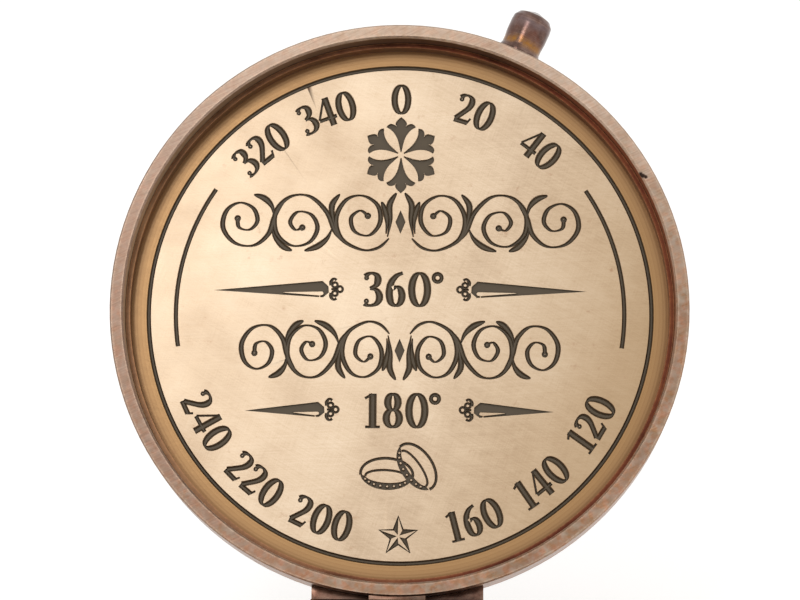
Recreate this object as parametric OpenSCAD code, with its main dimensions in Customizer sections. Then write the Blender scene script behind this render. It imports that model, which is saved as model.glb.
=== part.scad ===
// Pocket compass with a hinged lid, standing open. Millimetres, +Z up.
// The origin is the centre of the base's underside, and the hinge is at the back, on +Y.

/* [Case] */
// Outer diameter of the base and of the lid
case_d = 75; // [73:0.5:80]
// Height of the base, from its underside to the plane where the lid closes
base_h = 16; // [15.8:0.1:18]
// Thickness of the floor of the base
floor_t = 2.4; // [2:0.1:2.6]
// Wall of the base beside the dial
base_wall = 2.2; // [2:0.05:2.4]
// Width of the shelf that carries the dial
shelf_w = 3.8; // [3.4:0.1:5]
// Height of the shelf above the underside
shelf_z = 8; // [7.9:0.1:9]
// Radius of the rounded bottom edge of the base
foot_round = 0.9; // [0.4:0.1:1.6]
// Bevel on the turned edges
edge_bevel = 0.2; // [0.1:0.05:0.3]

/* [Lid] */
// Angle between the open lid and the closed one
open_angle = 115; // [100:1:125]
// Depth from the rim to the face of the engraved plate
recess_depth = 5; // [4.6:0.1:6]
// Thickness of the engraved plate
plate_t = 1.2; // [1:0.1:1.6]
// Thickness of the back of the lid
lid_back_t = 1.5; // [1.2:0.1:2.5]
// Wall of the lid at its mouth
lid_wall = 1.75; // [1.7:0.05:2]
// Bevel on the inner edge of the rim
mouth_bevel = 0.25; // [0.1:0.05:0.3]
// Radius of the rounded back edge of the lid
back_round = 1.4; // [0.6:0.1:2]
// Height of the ring that holds the engraved plate
ring_h = 2.1; // [1.6:0.1:2.6]
// Width of that ring
ring_w = 0.6; // [0.4:0.05:0.8]
// Gap between the closed lid and the base
close_gap = 0.06; // [0.04:0.01:0.1]

/* [Engraving] */
// Depth of the engraved lines
cut_depth = 0.35; // [0.2:0.05:0.6]
// Width of the engraved ring and of the side arcs
line_w = 0.5; // [0.4:0.05:1]
// Distance from the edge of the plate to the middle of the engraved ring
border_w = 2.9; // [2.4:0.1:4]
// Distance from the engraved ring to the side arcs
arc_inset = 3.5; // [3:0.1:4]
// Outer radius of the rosette
rosette_r = 5.1; // [4:0.1:5.5]
// Distance from the rosette to the centre of the plate
rosette_v = 21.1; // [20:0.1:22]
// Length of the upper dividers
divider_l = 14.7; // [10:0.1:15]
// Width of the upper dividers at their inner end
divider_w = 2.1; // [1:0.1:2.6]
// Outer radius of the star
star_r = 2.6; // [2:0.1:3]

/* [Thumb knob] */
// Angle from the front of the lid to the knob
knob_angle = 24; // [0:1:60]
// Largest diameter of the knob
knob_d = 5.45; // [4:0.05:6]
// Diameter of the knob's neck
knob_neck_d = 5.2; // [3:0.05:5.4]
// Diameter of the knob's foot
knob_foot_d = 5.8; // [5:0.05:6]
// Length of the knob outside the lid
knob_l = 6.4; // [4:0.1:8]
// Diameter of the knob's shank
knob_shank_d = 2.5; // [1.5:0.1:3]
// Length of the shank in the wall
knob_shank_l = 1.2; // [0.8:0.05:1.3]

/* [Hinge] */
// Width of the hinge
hinge_w = 22; // [18:0.5:26]
// Width of the middle knuckle, which belongs to the lid
mid_knuckle_w = 7.4; // [5:0.1:9]
// Distance from the case wall to the hinge axis
hinge_reach = 2.4; // [2.35:0.05:2.6]
// Diameter of the knuckles
knuckle_d = 4; // [3.6:0.1:4.2]
// Diameter of the hinge pin
pin_d = 2; // [1.6:0.1:2.2]
// Diameter of the pin's riveted heads
pin_head_d = 3; // [2.6:0.1:3.4]
// Length of each riveted head
pin_head_l = 0.6; // [0.4:0.1:1]
// Thickness of the leaves beyond the case wall
leaf_t = 1.4; // [1.3:0.05:1.5]
// Height of the leaves
leaf_h = 4.4; // [4:0.1:4.8]
// Distance that the stop behind the knuckle reaches from the axis
stop_reach = 3.6; // [3.2:0.1:4]

/* [Dial] */
// Thickness of the dial
dial_t = 1; // [0.8:0.1:1.2]
// Thickness of the raised degree ring
chapter_t = 0.8; // [0.7:0.1:1]
// Width of the degree ring
chapter_w = 10.5; // [9.5:0.1:12]
// Hole in the middle of the dial
dial_hole_d = 4.6; // [4.5:0.1:6]

/* [Needle] */
// Length of the needle
needle_l = 53; // [40:1:56]
// Width of the needle at its middle
needle_w = 5.8; // [5:0.1:8]
// Thickness of the needle
needle_t = 0.3; // [0.2:0.05:0.4]
// Diameter of the cap's body
cap_d = 3.8; // [3.4:0.1:4.2]
// Diameter of the cap's flange
cap_flange_d = 5.6; // [5:0.1:6]
// Thickness of the cap's flange
cap_flange_t = 0.7; // [0.5:0.1:0.8]
// Height of the cap
cap_h = 3.1; // [2.9:0.1:3.3]
// Diameter of the bearing jewel
jewel_d = 1.96; // [1.9:0.02:2.2]
// Thickness of the bearing jewel
jewel_t = 0.95; // [0.9:0.05:1.1]
// Distance from the balance clip to the middle of the needle
balance_y = 12; // [10:0.5:18]

/* [Pivot] */
// Diameter of the post
post_d = 2.4; // [2.2:0.1:2.6]
// Diameter of the post's foot
post_foot_d = 8; // [6:0.5:9]
// Thickness of the post's foot
post_foot_t = 1; // [0.8:0.1:1.2]
// Diameter of the steel point
point_d = 0.8; // [0.6:0.05:1]
// Length of the steel point's taper
point_taper = 1.15; // [1:0.05:1.4]

/* [Glass and bezel] */
// Thickness of the glass
glass_t = 1.6; // [1.2:0.1:1.8]
// Thickness of the gasket over the glass
gasket_t = 0.5; // [0.3:0.05:0.6]
// Wall of the bezel beside the glass
bezel_wall = 1.85; // [1.7:0.05:2.1]
// Height of the bezel's raised part, which stands above the closing plane
bezel_rise = 2.6; // [2.4:0.1:3.2]
// Step between the bezel's seat and its raised part
bezel_step = 1.05; // [0.9:0.05:1.3]
// Thickness of the lip over the glass
lip_t = 2.34; // [1.6:0.02:2.8]
// Width of the lip over the glass
lip_w = 2.5; // [2.2:0.1:3]
// Width of the flat top of the bezel
bezel_land = 1; // [0.6:0.1:1.2]
// Thickness of the retaining ring under the glass
retainer_t = 1.2; // [0.8:0.1:1.6]
// Width of the retaining ring
retainer_w = 2.15; // [1.8:0.05:2.6]

/* [Needle lifter] */
// Travel of the lifter pin
pin_travel = 0.5; // [0.3:0.05:0.6]
// Diameter of the lifter pin
lift_pin_d = 1.2; // [1:0.05:1.3]
// Distance from the case wall to the middle of the lifter pin
lift_pin_inset = 1.1; // [1.05:0.01:1.15]
// Distance from the middle of the base to the lever's fulcrum
fulcrum_x = 22; // [20:0.5:23]
// Thickness of the lever
lever_t = 0.8; // [0.6:0.05:1]
// Width of the lever
lever_w = 3; // [2.4:0.1:3.2]
// Height of the lever above the floor
lever_rise = 2.3; // [2.1:0.05:2.4]
// Outer diameter of the collar that lifts the needle
collar_d = 4; // [3.6:0.1:4.1]
// Diameter of the collar's flange
collar_flange_d = 6.8; // [6.4:0.1:7.4]
// Thickness of the collar's flange
collar_flange_t = 0.6; // [0.4:0.1:0.8]
// Height of the collar above the dial
collar_proud = 1.1; // [0.9:0.1:1.3]
// Diameter of the fulcrum pin
axle_d = 1; // [0.8:0.05:1.2]
// Thickness of the return spring
spring_t = 0.25; // [0.2:0.05:0.4]
// Width of the return spring
spring_w = 2.4; // [2:0.1:3]

/* [Screws] */
// Diameter of the dial screws
dial_screw_d = 1.2; // [1:0.1:1.4]
// Head diameter of the dial screws
dial_screw_head_d = 2.6; // [2.2:0.1:2.8]
// Number of dial screws
dial_screws_n = 3; // [3:1:6]
// Diameter of the screws in the hinge leaves
leaf_screw_d = 1.4; // [1:0.1:1.6]
// Head diameter of the screws in the hinge leaves
leaf_screw_head_d = 2.6; // [2:0.1:3]
// Distance from the middle of the hinge to its screws
leaf_screw_x = 7; // [5:0.5:8]
// Diameter of the small screws in the floor
floor_screw_d = 1; // [0.8:0.1:1.1]
// Head diameter of the small screws in the floor
floor_screw_head_d = 2.2; // [1.8:0.1:2.4]

/* [Hidden] */
turn_fn = 120;
small_fn = 48;
arc_steps = 6;
overrun = 1;
seat_gap = 0.05;
running_gap = 0.05;
touch_gap = 0.05;
screw_gap = 0.02;

// Case and lid
case_r = case_d / 2;
bore_r = case_r - base_wall;
cavity_r = bore_r - shelf_w;
lid_bore_r = case_r - lid_wall;
plate_z = -recess_depth;
plate_r = lid_bore_r - seat_gap;
back_z = plate_z - plate_t;
lid_h = recess_depth + plate_t + lid_back_t;
ring_r = lid_bore_r - seat_gap;

// Engraved plate, seen with the hinge at the bottom
groove_r = plate_r - border_w;
side_arc_r = groove_r - arc_inset;
side_arc_start = 56;
side_arc_end = 99;
rosette_petals = 6;
petal_share = 0.82;
petal_w_share = 0.3;
petal_root_share = 0.09;
petal_belly = 1.3;
lily_hub_share = 0.12;
lily_side_share = 0.86;
lily_side_angle = 21;
lily_notch_share = 0.74;
lily_notch_angle = 11;
divider_slot_share = 0.55;
divider_bar_share = 0.2;
divider_cut_share = 0.25;
divider_scale_share = 0.78;
divider_inner_u = 9.3;
divider_v = 3.1;
low_divider_inner_u = 9.6;
low_divider_v = -12.8;
fleuron_r = 0.62;
fleuron_spread = 60;
fleuron_lobe_share = 0.4;
link_v = -20.3;
link_u = 1.9;
link_a = 3.1;
link_b = 2.1;
link_line_share = 0.16;
link_flat_turn = 12;
link_steep_turn = -48;
link_steps = 32;
star_v = -29.3;
star_points = 5;
star_waist_share = 0.4;
star_hub_share = 0.08;

// Dial and needle heights
dial_r = bore_r - seat_gap;
dial_top = shelf_z + dial_t;
chapter_top = dial_top + chapter_t;
chapter_r_in = dial_r - chapter_w;
collar_top = dial_top + collar_proud;
pick_gap = 0.1;
cap_z = collar_top + pick_gap;
cap_top = cap_z + cap_h;
cap_crown_t = 0.6;
cap_neck_share = 0.74;
cap_top_share = 0.58;
needle_z = cap_z + cap_flange_t;
jewel_top = cap_top - cap_crown_t;
jewel_z = jewel_top - jewel_t;
jewel_cup = 0.85;
jewel_mouth_share = 0.7;
jewel_end_share = 0.1;
balance_t = 0.25;
balance_l = 1.6;
balance_gap = 0.03;

// Pivot
post_short = 0.2;
post_top = collar_top - post_short;
post_tail_d = 2;
post_tail_l = 1.6;
point_seat = 1.5;
point_tip_d = 0.16;
tip_gap = 0.05;
tip_z = jewel_z + jewel_cup - tip_gap;

// Lifter
lift_pin_r = lift_pin_d / 2;
lift_pin_x = case_r - lift_pin_inset;
outer_arm = lift_pin_x - fulcrum_x;
lift = pin_travel * fulcrum_x / outer_arm;
lever_z = floor_t + lever_rise;
lever_top = lever_z + lever_t;
axle_z = lever_z + lever_t / 2;
pip_h = 0.3;
pip_d = 0.8;
collar_z = lever_top + pip_h + touch_gap;
fork_gap = 0.5;
fork_w = 1.5;
fork_back = 1.2;
fork_root = 5;
fork_overlap = 0.3;
lever_end_gap = 0.25;
hub_wall = 0.75;
slot_side = 0.5;
slot_wall = 0.55;
slot_top_drop = 1;
lift_foot_d = 1.6;
lift_foot_t = 0.7;
ear_t = 0.9;
ear_gap = 0.1;
bracket_t = 0.8;
bracket_l = 5;
bracket_screw_gap = 0.4;
bracket_edge = 0.1;
bracket_half_w = lever_w / 2 + ear_gap + ear_t + bracket_screw_gap + floor_screw_head_d
    + bracket_edge;
axle_proud = 0.4;
spring_foot = 3;
spring_gap = 0.5;
spring_x = fulcrum_x + bracket_l / 2 + spring_gap;
spring_tip_share = 0.9;
spring_tip_l = 0.8;

// Glass and bezel
glass_clear = 0.1;
glass_gap = 0.1;
glass_z = cap_top + lift + glass_clear;
bezel_r = bore_r - seat_gap;
bezel_top_r = bezel_r - bezel_step;
glass_bore_r = bezel_r - bezel_wall;
glass_r = glass_bore_r - glass_gap;
lip_z = glass_z + glass_t + gasket_t;
lip_r = glass_bore_r - lip_w;
lip_edge = 0.5;
bezel_top = lip_z + lip_t;
bezel_seat_z = bezel_top - bezel_rise;
gasket_w = 1.8;
spanner_slot_w = 1.6;
spanner_slot_depth = 0.6;

// Hinge
hinge_y = case_r + hinge_reach;
leaf_y = case_r + leaf_t;
leaf_share = 0.55;
leaf_drop = leaf_share * knuckle_d;
base_leaf_z = base_h - leaf_drop - leaf_h;
knuckle_gap = 0.1;
stop_gap = 0.05;
head_gap = 0.05;
leaf_screw_l = 3.5;
pin_head_round_share = 0.6;

// Thumb knob: heights against its length and diameters against its largest one
knob_foot_share = 0.1;
knob_neck_share = 0.27;
knob_full_share = 0.58;
knob_shoulder_share = 0.78;
knob_bevel_share = 0.9;
knob_shoulder_d_share = 0.965;
knob_face_d_share = 0.72;
knob_seat = 0.02;

// Screws
dial_screw_share = 0.4;
dial_screw_r = cavity_r + dial_screw_share * shelf_w;
dial_screw_turn = 60;
dial_screw_l = 3.6;
flush_drop = 0.02;
driver_slot_share = 0.2;
driver_depth_share = 0.35;
countersink_share = 0.3;
floor_screw_head_t = 0.7;
floor_screw_l = 1.4;

// Points along an arc, from angle a0 to angle a1
function arc(cx, cy, r, a0, a1, n = arc_steps) =
    [for (i = [0 : n]) let (a = a0 + (a1 - a0) * i / n) [cx + r * cos(a), cy + r * sin(a)]];

// Points of an ellipse of half axes a and b
function ellipse(a, b) = [for (i = [0 : link_steps - 1])
    [a * cos(360 * i / link_steps), b * sin(360 * i / link_steps)]];

// A solid turned from a profile of radius and height
module turned(profile) rotate_extrude($fn = turn_fn) polygon(profile);

module ring(r_in, r_out, h) difference() {
    cylinder(r = r_out, h = h, $fn = turn_fn);
    translate([0, 0, -overrun]) cylinder(r = r_in, h = h + 2 * overrun, $fn = turn_fn);
}

// A hole that starts at its mouth and goes down
module hole(r, depth) translate([0, 0, -depth])
    cylinder(r = r, h = depth + overrun, $fn = small_fn);

// A screw with its head's top at zero: a flush head is a cone, a cheese head a cylinder
module flush_screw(d, head_d, l) difference() {
    union() {
        translate([0, 0, -countersink_share * head_d])
            cylinder(r1 = d / 2, r2 = head_d / 2, h = countersink_share * head_d, $fn = small_fn);
        translate([0, 0, -l]) cylinder(r = d / 2, h = l - countersink_share * head_d, $fn = small_fn);
    }
    driver_slot(head_d, driver_depth_share * countersink_share * head_d);
}

module cheese_screw(d, head_d, head_t, l) difference() {
    union() {
        translate([0, 0, -head_t]) cylinder(r = head_d / 2, h = head_t, $fn = small_fn);
        translate([0, 0, -head_t - l]) cylinder(r = d / 2, h = l, $fn = small_fn);
    }
    driver_slot(head_d, driver_depth_share * head_t);
}

module driver_slot(head_d, depth) translate([-head_d, -driver_slot_share * head_d / 2, -depth])
    cube([2 * head_d, driver_slot_share * head_d, depth + overrun]);

// The seat of a flush screw: a cone and a shank hole, a little wider than the screw
module flush_seat(d, head_d, l) {
    translate([0, 0, -countersink_share * head_d])
        cylinder(r1 = d / 2 + screw_gap, r2 = head_d / 2 + screw_gap,
            h = countersink_share * head_d, $fn = small_fn);
    hole(d / 2 + screw_gap, l + screw_gap);
    cylinder(r = head_d / 2 + screw_gap, h = overrun, $fn = small_fn);
}

// Places that repeat
module at_dial_screws() for (i = [0 : dial_screws_n - 1])
    rotate([0, 0, dial_screw_turn + 360 * i / dial_screws_n])
        translate([dial_screw_r, 0, chapter_top - flush_drop]) children();

module at_bracket_screws() for (side = [-1, 1])
    translate([fulcrum_x, side * (bracket_half_w - bracket_edge - floor_screw_head_d / 2),
        floor_t + bracket_t + floor_screw_head_t]) children();

module at_spring_screw()
    translate([spring_x + spring_foot / 2, 0, floor_t + spring_t + floor_screw_head_t]) children();

// Screws through a leaf point inwards, along -Y, at height z
module at_leaf_screws(z) for (side = [-1, 1])
    translate([side * leaf_screw_x, leaf_y - flush_drop, z]) rotate([-90, 0, 0]) children();

// Puts what is drawn in the lid's own frame on the open lid. In that frame the rim is at zero,
// the recess goes down, +Y points away from the hinge and +Z out of the recess.
module on_lid() translate([0, hinge_y, base_h]) rotate([-open_angle, 0, 0])
    translate([0, -hinge_y, close_gap]) rotate([180, 0, 0]) children();

// Base

module base_case() color("#a77b5a") difference() {
    turned(concat([[0, 0]], arc(case_r - foot_round, foot_round, foot_round, -90, 0),
        [[case_r, base_h - edge_bevel], [case_r - edge_bevel, base_h],
         [bore_r + edge_bevel, base_h], [bore_r, base_h - edge_bevel],
         [bore_r, shelf_z], [cavity_r, shelf_z], [cavity_r, floor_t], [0, floor_t]]));
    lifter_slot();
    translate([lift_pin_x, 0, base_h]) hole(lift_pin_r + running_gap, base_h - shelf_z + overrun);
    at_dial_screws() hole(dial_screw_d / 2 + screw_gap, dial_screw_l + 2 * screw_gap);
    at_bracket_screws() floor_screw_hole(bracket_t + floor_screw_l + screw_gap);
    at_spring_screw() floor_screw_hole(spring_t + floor_screw_l + screw_gap);
    translate([0, 0, floor_t]) hole(post_tail_d / 2 + screw_gap, post_tail_l + screw_gap);
    at_leaf_screws(base_leaf_z + leaf_h / 2)
        hole(leaf_screw_d / 2 + screw_gap, leaf_screw_l + 2 * screw_gap);
}

// Hole for a small screw, as deep as given below the screw's head
module floor_screw_hole(l) hole(floor_screw_d / 2 + screw_gap, floor_screw_head_t + l);

// Slot that lets the lever reach the lifter pin, with a pocket for the pin's foot
module lifter_slot() {
    h = shelf_z - slot_top_drop - floor_t;
    translate([cavity_r - overrun, -lever_w / 2 - slot_side, floor_t])
        cube([case_r - slot_wall - cavity_r + overrun, lever_w + 2 * slot_side, h]);
    translate([lift_pin_x, 0, floor_t])
        cylinder(r = lift_foot_d / 2 + running_gap, h = h, $fn = small_fn);
}

module dial_plate() color("#e9dfc4") difference() {
    translate([0, 0, shelf_z]) cylinder(r = dial_r, h = dial_t, $fn = turn_fn);
    translate([0, 0, dial_top]) hole(dial_hole_d / 2, dial_t + overrun);
    at_dial_screws() hole(dial_screw_d / 2 + screw_gap, dial_screw_l);
}

module chapter_ring() color("#c9a468") difference() {
    translate([0, 0, dial_top]) ring(chapter_r_in, dial_r, chapter_t);
    at_dial_screws() flush_seat(dial_screw_d, dial_screw_head_d, dial_screw_l);
}

module dial_screws() color("#8a6a43") at_dial_screws()
    flush_screw(dial_screw_d, dial_screw_head_d, dial_screw_l);

// Pivot

module pivot_post() color("#b98f52") difference() {
    union() {
        translate([0, 0, floor_t - post_tail_l])
            cylinder(r = post_tail_d / 2, h = post_tail_l + overrun, $fn = small_fn);
        translate([0, 0, floor_t])
            cylinder(r = post_foot_d / 2, h = post_foot_t, $fn = small_fn);
        translate([0, 0, floor_t])
            cylinder(r = post_d / 2, h = post_top - floor_t, $fn = small_fn);
    }
    translate([0, 0, post_top]) hole(point_d / 2 + screw_gap, point_seat + screw_gap);
}

module pivot_point() color("#8f9298") {
    translate([0, 0, post_top - point_seat])
        cylinder(r = point_d / 2, h = tip_z - point_taper - post_top + point_seat, $fn = small_fn);
    translate([0, 0, tip_z - point_taper])
        cylinder(r1 = point_d / 2, r2 = point_tip_d / 2, h = point_taper, $fn = small_fn);
}

// Needle

module needle() color("#2f3f66") translate([0, 0, needle_z]) difference() {
    linear_extrude(needle_t) polygon([[0, needle_l / 2], [needle_w / 2, 0],
        [0, -needle_l / 2], [-needle_w / 2, 0]]);
    translate([0, 0, -overrun])
        cylinder(r = cap_d / 2 + screw_gap, h = needle_t + 2 * overrun, $fn = small_fn);
}

module needle_cap() color("#c79a4f") turned([[jewel_d / 2 + screw_gap, cap_z],
    [cap_flange_d / 2, cap_z], [cap_flange_d / 2, needle_z], [cap_d / 2, needle_z],
    [cap_d / 2, cap_z + cap_neck_share * cap_h], [cap_top_share * cap_d / 2, cap_top],
    [0, cap_top], [0, jewel_top], [jewel_d / 2 + screw_gap, jewel_top]]);

module cap_jewel() color("#a8313f") difference() {
    translate([0, 0, jewel_z]) cylinder(r = jewel_d / 2, h = jewel_t, $fn = small_fn);
    translate([0, 0, jewel_z - overrun])
        cylinder(r = jewel_mouth_share * jewel_d / 2, h = overrun, $fn = small_fn);
    translate([0, 0, jewel_z]) cylinder(r1 = jewel_mouth_share * jewel_d / 2,
        r2 = jewel_end_share * jewel_d / 2, h = jewel_cup, $fn = small_fn);
}

// Clip that slides on the south arm and levels the needle
module needle_balance() color("#c79a4f") {
    inner = balance_half_w();
    translate([0, -balance_y, needle_z + needle_t / 2]) difference() {
        cube([2 * (inner + balance_t), balance_l, needle_t + 2 * balance_t], center = true);
        cube([2 * inner, balance_l + 2 * overrun, needle_t + 2 * balance_gap], center = true);
    }
}

function balance_half_w() =
    needle_w / 2 * (1 - (balance_y - balance_l / 2) / (needle_l / 2)) + balance_gap;

// Needle lifter

module lifter_pin() color("#b08a55") {
    translate([lift_pin_x, 0, lever_top + touch_gap])
        cylinder(r = lift_pin_r, h = base_h + pin_travel - lever_top - touch_gap, $fn = small_fn);
    translate([lift_pin_x, 0, lever_top + touch_gap])
        cylinder(r = lift_foot_d / 2, h = lift_foot_t, $fn = small_fn);
}

module lifter_lever() color("#b59059") difference() {
    union() {
        translate([fork_root, -lever_w / 2, lever_z])
            cube([case_r - slot_wall - lever_end_gap - fork_root, lever_w, lever_t]);
        for (side = [-1, 1]) fork_prong(side);
        translate([fork_root - fork_overlap, -fork_half_w(), lever_z])
            cube([fork_w, 2 * fork_half_w(), lever_t]);
        translate([fulcrum_x, lever_w / 2, axle_z]) rotate([90, 0, 0])
            cylinder(r = axle_d / 2 + hub_wall, h = lever_w, $fn = small_fn);
    }
    translate([fulcrum_x, lever_w / 2 + overrun, axle_z]) rotate([90, 0, 0])
        cylinder(r = axle_d / 2 + running_gap, h = lever_w + 2 * overrun, $fn = small_fn);
}

function fork_half_w() = post_d / 2 + fork_gap + fork_w;

// One prong of the fork, with the pip that touches the collar
module fork_prong(side) translate([0, side * (fork_half_w() - fork_w / 2), 0]) {
    translate([-fork_back, -fork_w / 2, lever_z])
        cube([fork_back + fork_root + fork_overlap, fork_w, lever_t]);
    translate([0, fork_w / 2, lever_top + pip_h - pip_d / 2]) rotate([90, 0, 0])
        cylinder(r = pip_d / 2, h = fork_w, $fn = small_fn);
}

module lift_collar() color("#b98f52") difference() {
    union() {
        translate([0, 0, collar_z])
            cylinder(r = collar_flange_d / 2, h = collar_flange_t, $fn = small_fn);
        translate([0, 0, collar_z])
            cylinder(r = collar_d / 2, h = collar_top - collar_z, $fn = small_fn);
    }
    translate([0, 0, collar_top])
        hole(post_d / 2 + running_gap, collar_top - collar_z + overrun);
}

module fulcrum_bracket() color("#a98552") difference() {
    union() {
        translate([fulcrum_x - bracket_l / 2, -bracket_half_w, floor_t])
            cube([bracket_l, 2 * bracket_half_w, bracket_t]);
        for (side = [-1, 1]) translate([fulcrum_x, side * ear_middle(), 0]) ear();
    }
    translate([fulcrum_x, bracket_half_w, axle_z]) rotate([90, 0, 0])
        cylinder(r = axle_d / 2 + screw_gap, h = 2 * bracket_half_w, $fn = small_fn);
    at_bracket_screws() floor_screw_hole(bracket_t + overrun);
}

function ear_middle() = lever_w / 2 + ear_gap + ear_t / 2;

module ear() {
    r = axle_d / 2 + hub_wall;
    translate([-r, -ear_t / 2, floor_t]) cube([2 * r, ear_t, axle_z - floor_t]);
    translate([0, ear_t / 2, axle_z]) rotate([90, 0, 0])
        cylinder(r = r, h = ear_t, $fn = small_fn);
}

module bracket_screws() color("#8f9298") at_bracket_screws()
    cheese_screw(floor_screw_d, floor_screw_head_d, floor_screw_head_t, bracket_t + floor_screw_l);

module fulcrum_pin() color("#8f9298") translate([fulcrum_x, axle_half_l(), axle_z])
    rotate([90, 0, 0]) cylinder(r = axle_d / 2, h = 2 * axle_half_l(), $fn = small_fn);

function axle_half_l() = ear_middle() + ear_t / 2 + axle_proud;

// Flat spring that pushes the lever and the pin back up
module return_spring() color("#c08a4a") difference() {
    tip_x = spring_x + spring_tip_share * (lift_pin_x - spring_x);
    tip_top = lever_z - touch_gap;
    translate([0, spring_w / 2, 0]) rotate([90, 0, 0]) linear_extrude(spring_w)
        polygon([[spring_x, floor_t], [spring_x + spring_foot, floor_t],
            [tip_x, tip_top - spring_t], [tip_x + spring_tip_l, tip_top - spring_t],
            [tip_x + spring_tip_l, tip_top], [tip_x, tip_top],
            [spring_x + spring_foot, floor_t + spring_t], [spring_x, floor_t + spring_t]]);
    at_spring_screw() floor_screw_hole(spring_t + overrun);
}

module spring_screw() color("#8f9298") at_spring_screw()
    cheese_screw(floor_screw_d, floor_screw_head_d, floor_screw_head_t, spring_t + floor_screw_l);

// Glass and bezel

module compass_glass() color("#dfe9ea", 0.4) translate([0, 0, glass_z])
    cylinder(r = glass_r, h = glass_t, $fn = turn_fn);

module glass_gasket() color("#2b2825") translate([0, 0, glass_z + glass_t])
    ring(glass_r - gasket_w, glass_r, gasket_t);

module glass_retainer() color("#a98552") difference() {
    translate([0, 0, glass_z - retainer_t])
        ring(glass_bore_r - seat_gap - retainer_w, glass_bore_r - seat_gap, retainer_t);
    for (side = [0, 180]) rotate([0, 0, side])
        translate([lip_r, -spanner_slot_w / 2, glass_z - retainer_t - overrun])
            cube([case_r, spanner_slot_w, spanner_slot_depth + overrun]);
}

module bezel() color("#b98a5c") turned([[glass_bore_r, chapter_top], [bezel_r, chapter_top],
    [bezel_r, bezel_seat_z], [bezel_top_r, bezel_seat_z], [bezel_top_r, bezel_top - edge_bevel],
    [bezel_top_r - edge_bevel, bezel_top], [bezel_top_r - bezel_land, bezel_top],
    [lip_r, lip_z + lip_edge], [lip_r, lip_z], [glass_bore_r, lip_z]]);

// Hinge

// Leaf outline: flat outside, hollowed to the case wall inside
module leaf_outline(half_w) difference() {
    translate([-half_w, case_r - hinge_w / 4]) square([2 * half_w, hinge_w / 4 + leaf_t]);
    circle(r = case_r + seat_gap, $fn = turn_fn);
}

// A leaf between two heights, over part of the width
module leaf_block(x0, x1, z0, z1) intersection() {
    translate([0, 0, z0]) linear_extrude(z1 - z0) leaf_outline(hinge_w / 2);
    translate([x0, 0, z0]) cube([x1 - x0, leaf_y + overrun, z1 - z0]);
}

module knuckle(x0, x1) translate([x0, hinge_y, 0]) rotate([0, 90, 0])
    cylinder(r = knuckle_d / 2, h = x1 - x0, $fn = turn_fn);

module pin_bore() translate([-hinge_w, hinge_y, 0]) rotate([0, 90, 0])
    cylinder(r = pin_d / 2 + running_gap, h = 2 * hinge_w, $fn = turn_fn);

// Stop behind an outer knuckle: its top lies just under the open lid's leaf
module stop_lug(x0, x1) translate([x0, hinge_y, 0]) rotate([90, 0, 90]) linear_extrude(x1 - x0)
    polygon([[0, -knuckle_d / 2], [stop_reach, -knuckle_d / 2],
        [stop_reach, stop_height(stop_reach)], [0, stop_height(0)]]);

function stop_height(y) =
    (cos(open_angle) * y + hinge_reach - leaf_t - stop_gap) / sin(open_angle);

module base_hinge_leaf() color("#6f4e3a") difference() {
    union() {
        leaf_block(-hinge_w / 2, hinge_w / 2, base_leaf_z, base_leaf_z + leaf_h);
        for (side = [0, 1]) mirror([side, 0, 0]) {
            leaf_block(mid_knuckle_w / 2, hinge_w / 2, base_leaf_z, base_h);
            translate([0, 0, base_h]) knuckle(mid_knuckle_w / 2, hinge_w / 2);
            translate([0, 0, base_h]) stop_lug(mid_knuckle_w / 2, hinge_w / 2);
        }
    }
    translate([0, 0, base_h]) pin_bore();
    at_leaf_screws(base_leaf_z + leaf_h / 2)
        flush_seat(leaf_screw_d, leaf_screw_head_d, leaf_screw_l);
}

module base_hinge_screws() color("#8a6a43") at_leaf_screws(base_leaf_z + leaf_h / 2)
    flush_screw(leaf_screw_d, leaf_screw_head_d, leaf_screw_l);

module hinge_pin() color("#8f9298") translate([0, hinge_y, base_h]) rotate([0, 90, 0]) {
    translate([0, 0, -hinge_w / 2 - head_gap])
        cylinder(r = pin_d / 2, h = hinge_w + 2 * head_gap, $fn = turn_fn);
    for (side = [0, 1]) mirror([0, 0, side]) translate([0, 0, hinge_w / 2 + head_gap])
        cylinder(r1 = pin_head_d / 2, r2 = pin_head_round_share * pin_head_d / 2,
            h = pin_head_l, $fn = small_fn);
}

// Lid, drawn in its own frame. Its hinge side is -Y there, so the hinge pieces are mirrored.

module lid_hinge_side() translate([0, 0, close_gap]) mirror([0, 1, 0]) mirror([0, 0, 1]) children();

module lid_shell() color("#a77b5a") on_lid() difference() {
    turned(concat([[0, back_z], [lid_bore_r, back_z], [lid_bore_r, -mouth_bevel],
        [lid_bore_r + mouth_bevel, 0], [case_r - edge_bevel, 0], [case_r, -edge_bevel]],
        arc(case_r - back_round, back_round - lid_h, back_round, 0, -90), [[0, -lid_h]]));
    at_knob() translate([0, 0, case_r]) hole(knob_shank_d / 2 + screw_gap,
        knob_shank_l + 2 * screw_gap);
    lid_hinge_side() at_leaf_screws(leaf_drop + leaf_h / 2)
        hole(leaf_screw_d / 2 + screw_gap, leaf_screw_l + 2 * screw_gap);
}

module plate_ring() color("#8a4f32") on_lid() translate([0, 0, plate_z])
    ring(ring_r - ring_w, ring_r, ring_h);

// Turns +Z to the direction of the knob, halfway up the lid's wall
module at_knob() translate([0, 0, -lid_h / 2]) rotate([0, 0, -knob_angle]) rotate([-90, 0, 0])
    children();

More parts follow.
